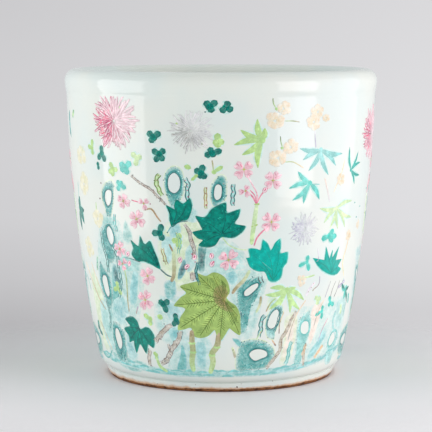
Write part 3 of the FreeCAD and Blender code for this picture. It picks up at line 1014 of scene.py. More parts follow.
rock_washes = [
    # outline, tone, deeper middle, cover
    ([(112, 264), (120, 280), (122, 300), (117, 322), (111, 318), (112, 290)], TEAL_PALE, TEAL, 0.85),
    ([(104, 214), (112, 218), (118, 240), (118, 262), (108, 262), (101, 240)], TEAL_PALE, TEAL, 0.7),
    ([(100, 300), (110, 308), (116, 330), (114, 352), (106, 340)], SKY_PALE, TEAL_PALE, 0.7),
    ([(112, 352), (128, 358), (146, 364), (140, 372), (122, 366)], TEAL_PALE, TEAL, 0.7),
    ([(184, 204), (196, 210), (196, 222), (186, 220)], SKY_PALE, TEAL_PALE, 0.6),
    ([(268, 300), (276, 296), (280, 306), (270, 312)], GLOW, TEAL_PALE, 0.6),
    ([(286, 318), (296, 312), (296, 336), (288, 362), (280, 364), (284, 340)], GLOW, PEACH_PALE, 0.6),
    ([(314, 306), (322, 304), (318, 324), (310, 344), (308, 330)], PEACH_PALE, PEACH_PALE, 0.7),
    ([(338, 300), (346, 298), (344, 316), (338, 330), (334, 318)], SKY_PALE, TEAL_PALE, 0.6),
    ([(199, 246), (206, 248), (205, 260), (204, 272), (199, 273), (198, 260)], TEAL, TEAL_DEEP, 0.8),
    ([(184, 259), (187, 262), (186, 270), (182, 278), (178, 280), (178, 273), (181, 264)],
     SKY, TEAL_DEEP, 0.85),
    ([(226, 268), (236, 272), (238, 280), (233, 286), (228, 282), (225, 274)], SKY_PALE, SKY, 0.8),
    ([(165, 283), (174, 280), (176, 290), (172, 300), (167, 300), (165, 292)], SKY, TEAL, 0.7),
    ([(134, 268), (138, 272), (138, 288), (136, 304), (131, 306), (129, 292), (131, 278)],
     SKY_PALE, SKY, 0.8),
    ([(113, 300), (124, 296), (130, 304), (128, 318), (124, 326), (116, 322), (111, 312)],
     SKY_PALE, SKY, 0.65),
    ([(182, 344), (185, 350), (187, 362), (186, 372), (178, 374), (177, 368), (180, 356)],
     SKY, TEAL, 0.85),
    ([(196, 342), (205, 342), (207, 356), (205, 369), (198, 368), (196, 356)], SKY_PALE, SKY, 0.75),
    ([(323, 329), (327, 333), (320, 346), (312, 358), (307, 361), (308, 354), (316, 342)],
     SKY_PALE, SKY, 0.8),
    ([(125, 221), (129, 228), (132, 238), (128, 244), (123, 240), (123, 231)], TEAL_PALE, TEAL, 0.6),
    ([(118, 254), (130, 258), (140, 262), (140, 270), (130, 272), (118, 270)], TEAL_PALE, TEAL_PALE, 0.7),
    ([(113, 262), (117, 268), (119, 280), (124, 286), (118, 286), (113, 280)], SKY, TEAL_DEEP, 0.8),
    ([(170, 226), (178, 223), (181, 230), (178, 237), (171, 238)], SKY_PALE, SKY, 0.7),
    ([(163, 238), (172, 238), (173, 254), (168, 264), (163, 256)], SKY_PALE, SKY_PALE, 0.7),
    ([(206, 250), (224, 244), (240, 256), (246, 268), (232, 272), (214, 278), (206, 268)],
     SKY_PALE, TEAL_PALE, 0.65),
    ([(168, 330), (178, 326), (184, 332), (180, 342), (172, 342)], SKY_PALE, SKY, 0.8),
    ([(186, 250), (192, 244), (197, 254), (194, 268), (188, 272)], TEAL_PALE, TEAL_PALE, 0.6),
    ([(160, 296), (178, 306), (182, 314), (176, 330), (168, 318)], SKY_PALE, SKY, 0.6),
    ([(233, 339), (240, 341), (242, 347), (238, 346)], SKY, TEAL, 0.9),
    ([(128, 326), (134, 344), (138, 356), (132, 362), (126, 350)], SKY_PALE, SKY, 0.65),
    ([(356, 250), (362, 246), (362, 262), (357, 270)], SKY_PALE, SKY, 0.5),
    ([(172, 203), (180, 204), (178, 214), (170, 214)], TEAL_PALE, SKY, 0.7),
]

ground_pixels = [(103, 352), (120, 361), (140, 367), (165, 371.5), (190, 373.5), (215, 374),
                 (240, 373.5), (265, 372), (290, 368.5), (310, 363), (328, 354), (338, 346)]
print(len(pierced_rocks), "rocks among", len(under_washes) + len(rock_washes), "washes")


# %% [markdown]
# ## Leaves
#
# The strong green leaves carry the pattern from a distance.  Each one is a single loaded fill
# with a crisp outline, and its veins were drawn first in black and show darkly through.

# %% How leaves are painted
def within(spot, border):
    """Whether a flat place lies inside a closed border."""
    after = np.roll(border, -1, axis=0)
    crosses = (border[:, 1] > spot[1]) != (after[:, 1] > spot[1])
    rise = np.where(after[:, 1] == border[:, 1], 1.0, after[:, 1] - border[:, 1])
    meet = border[:, 0] + (after[:, 0] - border[:, 0]) * (spot[1] - border[:, 1]) / rise
    return np.sum(crosses & (spot[0] < meet)) % 2 == 1


def leaf(e, outline, root, tips, tone, deep, seed):
    """Broad leaf: fill, dabs of gathered colour and a vein from the root towards each tip."""
    dice = np.random.default_rng(seed)
    root, border = seen(root)[0], seen(*outline)
    e.fill(border, BLEED, lift=WASH, cover=1.0, soft=True, skirt=3.6, fade=(1, 1, 0))
    e.fill(border, tone, blend(tone, deep, 0.3), step=1.4, skirt=0.5, rim=LAGOON_PALE)
    low, high = border.min(0), border.max(0)
    bright = blend(EMERALD_BRIGHT, LAGOON_PALE, 0.25)
    for k in range(round((high - low).prod() / 22)):
        at, out = dice.uniform(low, high), way(dice.uniform(0, 6)) * dice.uniform(0.7, 1.8)
        if within(at + out, border) and within(at - out, border):
            e.stroke([at - out, at + out], dice.uniform(1.2, 2.8), (bright, deep, tone)[k % 3],
                     lift=LEAF + 0.03, fat=0.7, cover=dice.uniform(0.25, 0.75), soft=True, ground=tone)
    for tip in seen(*tips):
        side = np.array([tip[1] - root[1], root[0] - tip[0]]) * 0.06
        middle = (root + tip) / 2 + side
        e.stroke([root, middle, root + (tip - root) * 0.88], 1.1, deep,
                 lift=LEAF + 0.05, belly=0.15, fat=0.5, cover=0.9, ground=tone)


def blades(e, pixel, tips, width, tone, deep, belly=0.4, fat=0.8, bend=0.08):
    """Narrow leaflets that spring from one place, each with a midrib."""
    heart = seen(pixel)[0]
    for index, tip in enumerate(seen(*tips)):
        reach = tip - heart
        side = np.array([reach[1], -reach[0]]) * bend * (1 if index % 2 else -1)
        line = [heart, heart + reach / 2 + side, tip]
        e.stroke(line, width + 4.2, HALO if tone[0] > 0.2 else BLEED, lift=WASH, belly=belly,
                 fat=fat, cover=0.8, soft=True)
        e.stroke(line, width, blend(tone, WHITE, 0.12), blend(tone, deep, 0.5), lift=LEAF,
                 belly=belly, fat=fat, edge=blend(tone, deep, 0.55))
        e.stroke([heart + reach * 0.15, heart + reach / 2 + side, heart + reach * 0.85], 0.55,
                 deep, lift=LEAF + 0.05, cover=0.5, ground=tone)
    e.fill(heart + width * 0.55 * np.array([way(TURN * k / 8) for k in range(8)]), tone)


def sprig(e, pixel, tips, tone, deep, width):
    """Small leaf of three or four round lobes, darkest where they meet."""
    blades(e, pixel, tips, width, tone, deep, belly=0.62, fat=0.5, bend=0.02)
    heart = seen(pixel)[0]
    for k in range(5):
        e.stroke([heart, heart + way(TURN * k / 5 + 0.3) * width * 0.5], width * 0.3, deep,
                 lift=LEAF + 0.04, cover=0.8, soft=True, ground=tone)


# %% [markdown]
# ## Where the leaves grow
#
# The broad leaves are outlines, each with a root and the tips that its veins run to.  The small
# ones are only a heart and the tips of their lobes, because one loaded stroke makes each lobe.

# %% Where the leaves grow
emerald_leaves = [
    # outline, root, tips
    ([(225.6, 203), (227, 213), (231, 212), (240, 209.5), (238.5, 217), (235, 223.5), (245.5, 226.5),
      (240, 234), (232, 238), (221.5, 237.5), (215, 245.5), (207, 247.5), (198.5, 245), (203, 240.5),
      (198, 238.5), (192.5, 232), (202, 230.5), (200, 225), (195.5, 216), (204.5, 217), (213, 208)],
     (222, 234), [(225, 206), (238, 212), (242, 227), (202, 244), (195, 232), (198, 218)]),
    ([(166, 205), (174.5, 211), (174, 205), (176.5, 199.5), (183, 203.5), (189.5, 198.5), (192, 207),
      (190, 215), (187.5, 219.5), (180, 221.5), (172, 227), (169.5, 220), (169, 213)],
     (173, 225), [(167, 207), (177, 202), (189, 201), (190, 213)]),
    ([(130.5, 240), (138, 246), (140, 236.5), (144.5, 244), (149.5, 241), (154, 250), (158, 260),
      (160, 269), (152, 265), (144, 261.5), (137, 261), (131.5, 254), (133, 248)],
     (158, 266), [(132, 242), (140, 239), (149, 243), (136, 258)]),
    ([(263, 240), (268, 244), (271, 250), (275, 243), (280, 239), (281, 247), (280.5, 253),
      (287.5, 252), (287, 262), (283, 268), (281, 277), (276, 281.5), (269, 280.5), (264.5, 272),
      (258, 271.5), (250, 267), (247, 260), (246, 258), (249.5, 257.5), (249, 249), (257, 249),
      (260.5, 250)],
     (273, 280), [(263.5, 243), (279, 242), (286, 254), (249, 259), (250, 251)]),
    ([(125, 319), (132, 316.5), (137, 321), (140, 329), (146, 327), (151.5, 331), (154.5, 337.5),
      (153, 348), (150, 345), (148.5, 343), (146, 353), (142, 347), (140, 344), (136.5, 353),
      (134, 345), (133.5, 341), (129.5, 342), (128.5, 336), (124, 328.5), (130, 325)],
     (140, 329), [(127, 319), (126, 328), (130, 340), (137, 351), (145, 351), (153, 346)]),
    ([(333, 275), (325, 272), (319, 267), (313.5, 258), (321, 264), (324, 262), (326.5, 247),
      (328, 262), (333, 250), (332, 262), (339, 247), (336, 262), (341.5, 259), (338, 267),
      (341, 268.5), (338, 273)],
     (331, 273), [(315, 260), (326, 250), (332.5, 253), (338, 250), (341, 261)]),
]

veined_leaf = [(180, 286.5), (190, 283), (199, 280), (197, 273.5), (206, 276), (213, 272.5),
               (220, 274), (226, 279), (229, 286), (229.5, 293), (226.5, 297.5), (229, 301), (236, 306),
               (240, 315), (240.5, 324), (240, 335), (234, 332), (230, 328), (225, 335), (221, 340),
               (217, 336), (215, 330), (208, 336), (200, 338), (194, 336), (191, 328), (184, 329.5),
               (178, 330), (180, 318), (185, 309), (178, 306.5), (174, 306), (180, 298), (186, 293)]
veined_root = (224, 300)
veined_tips = [(180, 287), (198, 275), (213, 275), (226, 284), (176, 305), (180, 328), (200, 336),
               (220, 338), (239, 333), (238, 316)]
brown_patch = [(214, 287), (224, 284), (228.5, 293), (226, 300), (234, 312), (226, 312), (214, 302)]

sprigs = [
    # heart, tips, tone, deep, width
    ((152.5, 137), [(147.5, 131), (160.5, 132), (150, 143), (157, 139)], EMERALD, EMERALD_DEEP, 7.5),
    ((159, 154), [(151.5, 149.5), (165, 149), (154.5, 162), (164, 161)], EMERALD, EMERALD_DEEP, 7.0),
    ((210, 106.5), [(204.5, 101), (217, 100.5), (212, 113), (205, 107)], EMERALD, EMERALD_DEEP, 7.5),
    ((226, 107.5), [(229, 101), (220.5, 112.5), (233, 111)], EMERALD, EMERALD_DEEP, 7.5),
    ((212, 153), [(209.5, 147), (204.5, 156.5), (215, 157), (222, 150)], EMERALD, EMERALD_DEEP, 7.0),
    ((201, 173), [(203.5, 164.5), (194, 169.5), (206, 179), (200, 179)], EMERALD, EMERALD_DEEP, 7.0),
    ((101.5, 153), [(101, 145), (97.5, 159.5), (105, 162)], EMERALD, EMERALD_DEEP, 6.5),
    ((97.5, 164), [(97, 162), (98.5, 170)], EMERALD, EMERALD_DEEP, 4.5),
    ((159.5, 233), [(162, 224), (151.5, 233.5), (163, 241)], EMERALD, EMERALD_DEEP, 7.5),
    ((163, 304), [(158.5, 300), (169.5, 300.5), (167, 313)], EMERALD, EMERALD_DEEP, 7.5),
    ((176, 320), [(175, 313), (173, 326.5), (178.5, 325)], EMERALD, EMERALD_DEEP, 6.5),
    ((125.5, 167), [(119, 163), (130.5, 161.5), (127, 175), (120, 171)], LAGOON_PALE, TEAL, 7.0),
    ((119.5, 185), [(116.5, 180), (117.5, 191), (126, 188.5), (122, 181)], LAGOON_PALE, TEAL, 5.0),
    ((329, 236), [(321.5, 239), (334, 229), (333, 242), (337, 236)], LAGOON_PALE, LAGOON, 6.5),
    ((307, 262), [(308.5, 255), (298.5, 266.5), (309, 271)], LAGOON_PALE, LAGOON, 4.6),
    ((322, 311), [(323, 305), (315, 316), (321.5, 319)], LAGOON_PALE, LAGOON, 4.6),
    ((330.5, 303), [(329.5, 296), (328, 306), (334, 305)], LAGOON_PALE, LAGOON, 5.0),
    ((345, 290), [(342.5, 287.5), (347, 285), (344, 299)], LAGOON_PALE, LAGOON, 4.5),
    ((348.5, 298), [(348.5, 293), (348, 303)], LAGOON_PALE, LAGOON, 3.0),
    ((91.5, 148), [(92, 139), (87.5, 146), (92.5, 155)], SPRING, MOSS, 5.5),
    ((112.5, 169), [(109.5, 162), (117.5, 170), (112, 176.5), (108.5, 173)], SPRING, MOSS, 6.0),
    ((136.5, 158), [(131, 152.5), (141.5, 156), (135, 166)], SPRING_PALE, SPRING, 6.5),
    ((218, 142), [(217.5, 133), (224.5, 141.5), (212.5, 143), (218, 148)], SPRING, MOSS, 7.0),
    ((187.5, 167), [(184, 166), (191, 168.5)], SPRING, MOSS, 5.0),
    ((196, 176), [(191, 180.5), (198, 175)], SPRING, MOSS, 3.5),
    ((214, 172), [(223, 166.5)], SPRING, MOSS, 4.5),
    ((177.5, 241), [(180, 233), (171.5, 240.5), (179, 248), (182, 244)], SPRING, MOSS, 7.0),
    ((117.5, 288), [(116.5, 281), (113.5, 290), (121.5, 295)], SPRING, MOSS, 6.0),
    ((150, 319), [(143.5, 314), (150.5, 326)], SPRING, MOSS, 6.0),
    ((160, 317), [(157, 315.5), (163, 318)], SPRING, MOSS, 6.0),
    ((318, 300), [(315.5, 296), (321, 297), (317, 305)], SPRING_PALE, SPRING, 6.0),
    ((341, 309), [(341, 304), (340.5, 314)], SPRING_PALE, SPRING, 5.0),
    ((156, 355), [(153.5, 352), (157, 360)], SPRING, MOSS, 5.0),
    ((98.5, 327), [(98, 320), (102.5, 335)], EMERALD, EMERALD_DEEP, 5.0),
]

palm_leaves = [
    # heart, tips, width, tone, deep
    ((262, 140), [(257.5, 119), (265, 128), (240.5, 130), (234, 145), (242, 155), (258, 168)], 7.0,
     SPRING, MOSS),
    ((321, 150), [(300, 148.5), (303, 160), (308.5, 171), (328.5, 175), (336, 165.5), (342.5, 153.5)],
     5.6, TEAL_PALE, TEAL),
    ((310, 183), [(298, 171.5), (289, 188.5), (292.5, 200.5), (303.5, 203.5), (319.5, 199.5)], 5.2,
     LAGOON_PALE, TEAL),
    ((337, 208), [(320, 208.5), (324, 223), (330, 228), (338, 228.5), (345, 227), (351.5, 217),
                  (352, 200.5)], 4.6, SPRING_PALE, SPRING),
    ((287, 290), [(265, 295), (270, 288), (268.5, 310), (280, 306), (290, 313), (300, 310), (304, 300),
                  (296, 287)], 6.0, SPRING, SPRING),
    ((351, 170), [(350, 147), (358.5, 151.5), (360.5, 162), (359.5, 175), (354.5, 184)], 3.2,
     LAGOON, EMERALD),
    ((345, 290), [(342, 283), (349, 286), (346.5, 301)], 4.6, EMERALD, EMERALD_DEEP),
    ((79.5, 208), [(79, 196), (83.5, 210), (83, 222), (82, 230), (84, 224)], 8.0, EMERALD, EMERALD_DEEP),
    ((69.5, 124), [(69.2, 110), (71, 137)], 6.0, TEAL, TEAL_DEEP),
    ((72.5, 114), [(73.5, 110), (72.5, 118)], 4.5, SPRING, EMERALD),
]
print(len(emerald_leaves), "broad leaves,", len(sprigs), "sprigs,", len(palm_leaves), "palm leaves")

# %% [markdown]
# ## Flowers
#
# Rose enamel is opaque and soft.  The small flowers have pale petals with a deeper edge round
# a yellow-green heart.  The chrysanthemums are drawn petal by petal, in layers from the border
# inwards, and each petal keeps a fine shadow line along one side.

# %% How flowers are painted
def blossom(e, pixel, size, turn, petals, seed):
    """Small flower of two-lobed petals round a heart."""
    dice = np.random.default_rng(seed)
    heart = seen(pixel)[0]
    for k in range(petals):
        aim = turn + TURN * k / petals + dice.uniform(-0.12, 0.12)
        reach = size * dice.uniform(0.88, 1.08)
        for lobe in (-0.30, 0.30):
            out = heart + reach * way(aim + lobe)
            e.stroke([heart + way(aim) * size * 0.12, heart + reach * 0.55 * way(aim + lobe * 0.7), out],
                     size * 0.46, blend(ROSE_PALE, ROSE, 0.55), blend(ROSE_PALE, ROSE, 0.12),
                     lift=PETAL, belly=0.66, fat=0.6, edge=blend(ROSE, ROSE_PALE, 0.35), cover=0.85)
        for lobe in (-0.40, -0.15, 0.10, 0.36):
            start = dice.uniform(0.2, 0.55)
            e.stroke([heart + way(aim + lobe * 0.5) * reach * start,
                      heart + reach * (start + dice.uniform(0.25, 0.5)) * way(aim + lobe)],
                     dice.uniform(0.8, 1.5), ROSE_DEEP, ROSE, lift=PETAL + 0.07, fat=0.7,
                     cover=dice.uniform(0.4, 1.0), ground=ROSE_PALE)
    e.fill(heart + 0.09 * size * np.array([way(TURN * k / 8) for k in range(8)]), HEART,
           lift=PETAL + 0.1, skirt=0.3)
    for k in range(4):
        e.stroke([heart, heart + size * 0.26 * way(turn + TURN * (k + 0.5) / 4)], 0.6, HEART,
                 lift=PETAL + 0.1)


def chrysanthemum(e, pixel, reach, petals, pale, deep, shade_side, width, cover, line, seed):
    """Flower of many narrow curling petals in layers."""
    dice = np.random.default_rng(seed)
    heart = seen(pixel)[0]
    layers = [(0.30, 1.00, 1.0), (0.20, 0.84, 0.9), (0.12, 0.64, 0.65), (0.04, 0.42, 0.45)]
    for near, far, share in layers:
        count = round(petals * share)
        for k in range(count):
            aim = TURN * (k + dice.uniform(-0.35, 0.35)) / count
            bend = dice.uniform(-0.2, 0.2)
            top = reach * far * dice.uniform(0.84, 1.08)
            ends = [heart + reach * near * way(aim - bend),
                    heart + (reach * near + top) / 2 * way(aim),
                    heart + top * way(aim + bend * 0.8)]
            shade = (0.5 + 0.5 * math.cos(aim - shade_side)) ** 1.5
            tone = blend(pale, deep, 0.08 + 0.68 * shade * dice.uniform(0.2, 1.3))
            e.stroke(ends, width, tone, blend(pale, tone, 0.25), lift=PETAL - 0.02 * far,
                     belly=0.7, fat=0.6, cover=cover * dice.uniform(0.6, 1.0),
                     edge=blend(tone, deep, 0.35))
            edge = [p + way(aim + 1.57) * width * 0.5 for p in ends]
            e.stroke(edge, line, blend(tone, deep, 0.4 + 0.6 * shade), lift=PETAL + 0.04, fat=0.5,
                     cover=cover * (0.6 + 0.4 * shade))


def accents(e, pixel, reach, number, tone, shade_side, seed):
    """Short dark touches between the petals on the shaded side of a flower."""
    dice = np.random.default_rng(seed)
    heart = seen(pixel)[0]
    for _ in range(number):
        aim = shade_side + dice.normal(0, 0.65)
        near = reach * dice.uniform(0.25, 0.8)
        e.stroke([heart + near * way(aim), heart + (near + reach * 0.16) * way(aim + 0.1)],
                 dice.uniform(0.9, 2.0), tone, lift=PETAL + 0.08, fat=0.8,
                 cover=dice.uniform(0.4, 0.9))


def peach_bloom(e, pixel, size, tone, seed):
    """Loose pale blossom, little more than a breath of colour."""
    dice = np.random.default_rng(seed)
    heart = seen(pixel)[0]
    for k in range(6):
        aim = TURN * k / 6 + dice.uniform(-0.3, 0.3)
        out = heart + size * dice.uniform(0.7, 1.0) * way(aim)
        e.stroke([heart + way(aim) * size * 0.1, out], size * 0.75, blend(tone, CREAM, 0.5), tone,
                 lift=PETAL - 0.1, belly=0.65, fat=0.5, cover=0.55, soft=True)
    for k in range(7):
        dot = heart + size * 0.45 * dice.uniform(0.2, 1.0) * way(TURN * k / 7)
        e.stroke([dot, dot + way(dice.uniform(0, 6)) * 0.8], 0.7, blend(tone, OLIVE_BROWN, 0.4),
                 lift=PETAL, cover=0.6)


# %% [markdown]
# ## Where the flowers are
#
# A flower needs even less than a leaf: the pixel of its heart, its size and how it is turned.
# Its petals are worked out, much as a painter's wrist repeats them.

# %% Where the flowers are
rose_blossoms = [
    # heart, size in mm, turn, petals
    ((244, 169.5), 12.0, 0.75, 4), ((273, 180.5), 12.0, 0.75, 4), ((245.5, 191), 8.0, 0.4, 3),
    ((271.5, 222), 12.5, 0.8, 4), ((228.5, 260), 13.0, 0.6, 4), ((123, 201), 10.5, 0.3, 4),
    ((143.5, 203.5), 8.0, 0.9, 3), ((136.5, 219), 12.0, 0.5, 4), ((119.5, 249), 10.0, 0.4, 4),
    ((122.5, 264), 9.0, 0.7, 3), ((147.5, 276), 12.5, 0.5, 4), ((145, 300), 12.5, 0.6, 4),
]

rose_buds = [((194.5, 257), 0.2), ((211.7, 256), 0.1), ((212, 264), 0.4), ((187, 266.5), 0.9),
             ((127.5, 254), 0.7), ((129, 263.5), 0.4), ((265, 190), 0.5), ((180, 260), 0.3)]

peach_blooms = [
    # heart, size in mm
    ((275, 121), 13.5), ((283.5, 108.5), 10.0), ((278, 158), 13.5), ((290.5, 147), 11.0),
    ((341, 179), 9.0), ((80.5, 155), 16.0), ((83.5, 184), 17.0), ((97.5, 219), 14.0),
    ((89, 247), 15.0), ((318, 112), 11.0), ((314, 122), 11.0), ((326, 118), 7.0),
    ((302, 281), 9.0), ((349, 235), 8.0), ((358, 224), 7.0),
]

chrysanthemums = [
    # heart, name, reach in mm, petals, pale and deep tone, shaded side, petal width, cover, line width
    ((113.5, 121), "rose_chrysanthemum", 35, 34, ROSE_PALE, ROSE_DEEP, -1.9, 2.5, 1.0, 0.9),
    ((191, 131), "grey_chrysanthemum", 26, 32, LILAC_PALE, STONE, -2.4, 1.6, 0.75, 0.7),
    ((305, 229), "lilac_chrysanthemum", 21, 28, LILAC_PALE, LILAC, -1.6, 1.3, 0.5, 0.6),
    ((371, 133), "far_chrysanthemum", 34, 32, ROSE_PALE, ROSE_DEEP, -1.6, 2.4, 1.0, 0.9),
]
print(len(rose_blossoms) + len(peach_blooms), "blossoms and", len(chrysanthemums), "chrysanthemums")

# %% [markdown]
# ## Stems, branches and moss
#
# Stems tie the garden together.  Old branches are outlined in grey-brown and filled thinly,
# with knots along them; bamboo has a pale ring at each node; moss is a wavy touch of teal with
# a few red dots.

# %% How stems and moss are painted
def branch(e, points, width, line, seed):
    """Gnarled branch: pale fill, two wandering outlines and knots."""
    dice = np.random.default_rng(seed)
    path = smooth_line(seen(*points), step=3.0)
    along = np.gradient(path, axis=0)
    side = np.stack([-along[:, 1], along[:, 0]], 1)
    side /= np.linalg.norm(side, axis=1, keepdims=True)
    wander = dice.normal(0, width * 0.1, (2, len(path), 1))
    e.stroke(path, width, BARK_PALE, lift=LEAF - 0.04, fat=0.2, cover=0.6)
    for hand, shift in zip((-0.5, 0.5), wander):
        e.stroke(path + side * (width * hand + shift), 0.9, line, lift=LINE, fat=0.4, cover=0.7)
    for spot, out in zip(path[1::2], side[1::2]):
        for tone in (line, INK, line, WHITE, INK):
            mark = spot + out * dice.uniform(-0.45, 0.45) * width + dice.normal(0, 0.8, 2)
            e.stroke([mark, mark + dice.normal(0, 1.0, 2)], dice.uniform(0.8, 1.5), tone,
                     lift=LINE + 0.02, cover=0.8)


def stem(e, points, width, first, last, lift=LINE - 0.05, ground=None):
    """Plain stem along pixels of the photograph."""
    e.stroke(seen(*points), width, first, last, lift=lift, fat=0.15, cover=0.9, ground=ground)


def moss(e, points, width, tone, dot, dark, seed):
    """Wavy outline of a moss tuft with coloured dots along it."""
    dice = np.random.default_rng(seed)
    path = smooth_line(seen(*points), step=2.2)
    along = np.gradient(path, axis=0)
    side = np.stack([-along[:, 1], along[:, 0]], 1) / np.linalg.norm(along, axis=1)[:, None]
    e.stroke(path, width * 1.25, tone, lift=ROCK + 0.06, fat=0.4, cover=0.8)
    for hand in (-1, 1):
        wave = (1 + 0.3 * np.sin(np.arange(len(path)) * 1.5 + hand))[:, None] * width / 2
        e.stroke(path + side * wave * hand, 1.3, dark, lift=LINE - 0.04, fat=0.4, cover=0.9, ground=tone)
    for spot in path[1:-1:3]:
        at = spot + dice.normal(0, width * 0.12, 2)
        e.stroke([at, at + way(dice.uniform(0, 6)) * 1.0], 2.0, dot, lift=PETAL, cover=0.9)


# %% [markdown]
# ## Where stems and moss run
#
# Stems, branches and moss follow short lines of pixels, each with a width and its tones.  The
# last list holds the loose touches: single dots of the brush that tie the garden together.

# %% Where stems and moss run
stems = [
    # points, width in mm, first tone, last tone
    ([(257, 204), (255.5, 214), (254, 225), (252.5, 235), (251.5, 245)], 5.0, SPRING_PALE, SPRING),
    ([(254, 204.5), (260, 204)], 2.2, MOSS, MOSS), ([(251, 227), (258, 224.5)], 2.2, MOSS, MOSS),
    ([(256.5, 204), (252, 196), (246, 191)], 1.6, ROSE, ROSE),
    ([(256.5, 204), (257, 194), (252, 184), (246, 174)], 1.4, ROSE, ROSE_PALE),
    ([(256.5, 204), (262, 194), (269, 187)], 1.4, ROSE, ROSE),
    ([(256.5, 204), (255, 196), (250, 190)], 1.2, ROSE, ROSE),
    ([(254, 246), (257, 238), (262, 232), (268, 227)], 1.6, ROSE, ROSE),
    ([(131, 200), (138, 202), (144, 203)], 1.2, ROSE_DEEP, ROSE),
    ([(144, 210), (151, 209), (157, 217), (161, 222)], 1.8, OLIVE_BROWN, OLIVE_BROWN),
    ([(222, 237), (229, 245), (238, 249), (248, 250)], 1.2, SPRING, SPRING_PALE),
    ([(167, 233), (172, 226), (180, 222), (188, 221)], 1.3, TEAL, EMERALD_DEEP),
    ([(160, 269), (167, 275), (172, 277)], 1.6, TEAL_DEEP, EMERALD_DEEP),
    ([(122, 258), (128, 258), (140, 262)], 1.4, TEAL, EMERALD_DEEP),
    ([(212, 160), (213, 166), (213.5, 172)], 1.4, OLIVE_BROWN, SPRING),
    ([(273, 97), (273.5, 103), (276, 108)], 1.3, OLIVE, SPRING),
    ([(280.5, 136), (281, 142), (282.5, 147)], 1.1, OLIVE, SPRING),
    ([(315, 130), (315.5, 140), (316, 148)], 1.2, LILAC_PALE, LILAC),
    ([(325, 178), (328, 192), (330, 202)], 1.8, PEACH_PALE, LILAC_PALE),
    ([(314, 184), (320, 184.5)], 1.2, TEAL, TEAL_PALE),
    ([(345, 160), (342, 172), (338, 182), (334, 192)], 1.3, CREAM, PEACH),
    ([(350, 232), (347, 246), (343, 262), (344, 276)], 1.5, PEACH, CREAM),
    ([(285, 121), (293, 121), (300, 122)], 1.0, SPRING, OLIVE_BROWN),
    ([(285, 162), (293, 162), (304, 168)], 1.0, SPRING, PEACH),
    ([(300, 278), (308, 277), (315, 275)], 1.8, SPRING_PALE, SPRING),
    ([(320, 276), (319, 284), (313, 290)], 1.2, LILAC, OLIVE_BROWN),
    ([(318, 248), (318.5, 260), (316, 262)], 1.0, LILAC_PALE, LILAC),
    ([(78.5, 200), (78, 190), (77.5, 182)], 1.2, TEAL_PALE, TEAL),
    ([(82.5, 146), (82.7, 152)], 1.2, SPRING, SPRING), ([(95.5, 202), (96, 212)], 1.6, SPRING, SPRING),
    ([(85, 176), (84.5, 183)], 1.2, SPRING, SPRING), ([(87, 238), (88, 246)], 1.2, SPRING, SPRING),
    ([(86, 262), (92, 280), (99, 298), (106, 310)], 1.6, PEACH, OLIVE_BROWN),
    ([(91, 262), (97, 280), (104, 296)], 1.2, PEACH, BARK_PALE),
    ([(84, 268), (88, 278), (91, 290)], 1.8, TEAL_PALE, TEAL),
    ([(124, 268), (126, 278), (127, 290), (127.5, 300), (129, 312)], 1.6, SPRING, OLIVE_BROWN),
    ([(138, 306), (136, 314)], 1.6, LILAC, BARK_PALE),
    ([(100, 320), (105, 332), (109, 342), (112, 350)], 1.2, OLIVE_BROWN, PEACH),
    ([(156, 356), (160, 366), (168, 372)], 4.0, SPRING, SPRING),
    ([(102, 350), (106, 356), (109, 357), (112, 350)], 1.8, TEAL, TEAL),
    ([(173, 250), (174, 262), (173.5, 276), (171, 282)], 4.6, SPRING_PALE, OLIVE_BROWN),
    ([(169, 244), (173, 252)], 2.2, OLIVE_BROWN, OLIVE_BROWN),
    ([(250, 270), (244, 280), (236, 288), (232, 294)], 4.0, SPRING_PALE, OLIVE_BROWN),
    ([(261, 296), (260, 304), (256, 313)], 3.0, OLIVE_BROWN, SPRING_PALE),
    ([(262, 262), (272, 270)], 1.0, LAGOON, LAGOON),
    ([(232, 347), (234, 352), (235, 358)], 3.2, SPRING_PALE, BARK_PALE),
    ([(253, 294), (247, 302), (243, 312)], 1.2, TEAL_DEEP, TEAL),
    ([(97.5, 320), (99, 327), (101, 334)], 5.0, EMERALD, EMERALD_DEEP),
    ([(336, 281), (332, 291), (330, 300)], 0.9, STONE, INK),
    ([(340, 280), (337, 290), (334, 297)], 0.9, STONE, INK),
    ([(331, 281), (328, 289), (325, 298)], 0.9, STONE, LILAC),
    ([(344, 278), (341, 286)], 0.9, TEAL, STONE),
    ([(349, 296), (345, 306), (343, 316)], 1.0, TEAL_DEEP, TEAL),
    ([(324, 300), (318, 312), (314, 326)], 1.2, PEACH, STONE),
    ([(306, 300), (298, 312), (292, 326), (288, 340)], 1.2, PEACH, STONE),
    ([(328, 318), (322, 330), (318, 342)], 1.0, ROSE, LILAC),
    ([(276, 298), (270, 304), (266, 312)], 1.6, SPRING, OLIVE_BROWN),
    ([(262, 330), (256, 340)], 1.4, SPRING, SPRING_PALE),
    ([(284, 312), (280, 322), (279, 334)], 1.1, PEACH, BARK),
    ([(272, 340), (276, 346)], 1.6, PEACH, BARK), ([(241, 312), (242, 322)], 1.8, TEAL_DEEP, TEAL),
]

branches = [
    # points, width in mm
    ([(130.5, 175.5), (140, 183), (150, 189), (158, 197), (166, 205)], 2.0),
    ([(155, 342), (161, 334), (167, 328), (172, 325)], 5.5),
    ([(161, 364), (168, 358), (172, 349), (178, 340), (181, 331)], 6.0),
    ([(168, 344), (170, 350)], 3.0), ([(150, 350), (149, 358), (150, 365)], 5.0),
    ([(266, 369), (271, 362), (276, 356), (280, 350), (281, 340), (287, 330), (292, 318), (296, 312)], 3.6),
    ([(303, 366), (304, 352), (306, 344)], 2.6), ([(192, 272), (193, 280)], 6.0),
    ([(184, 224), (189, 231), (191, 240), (194, 251), (193, 258)], 3.4),
]

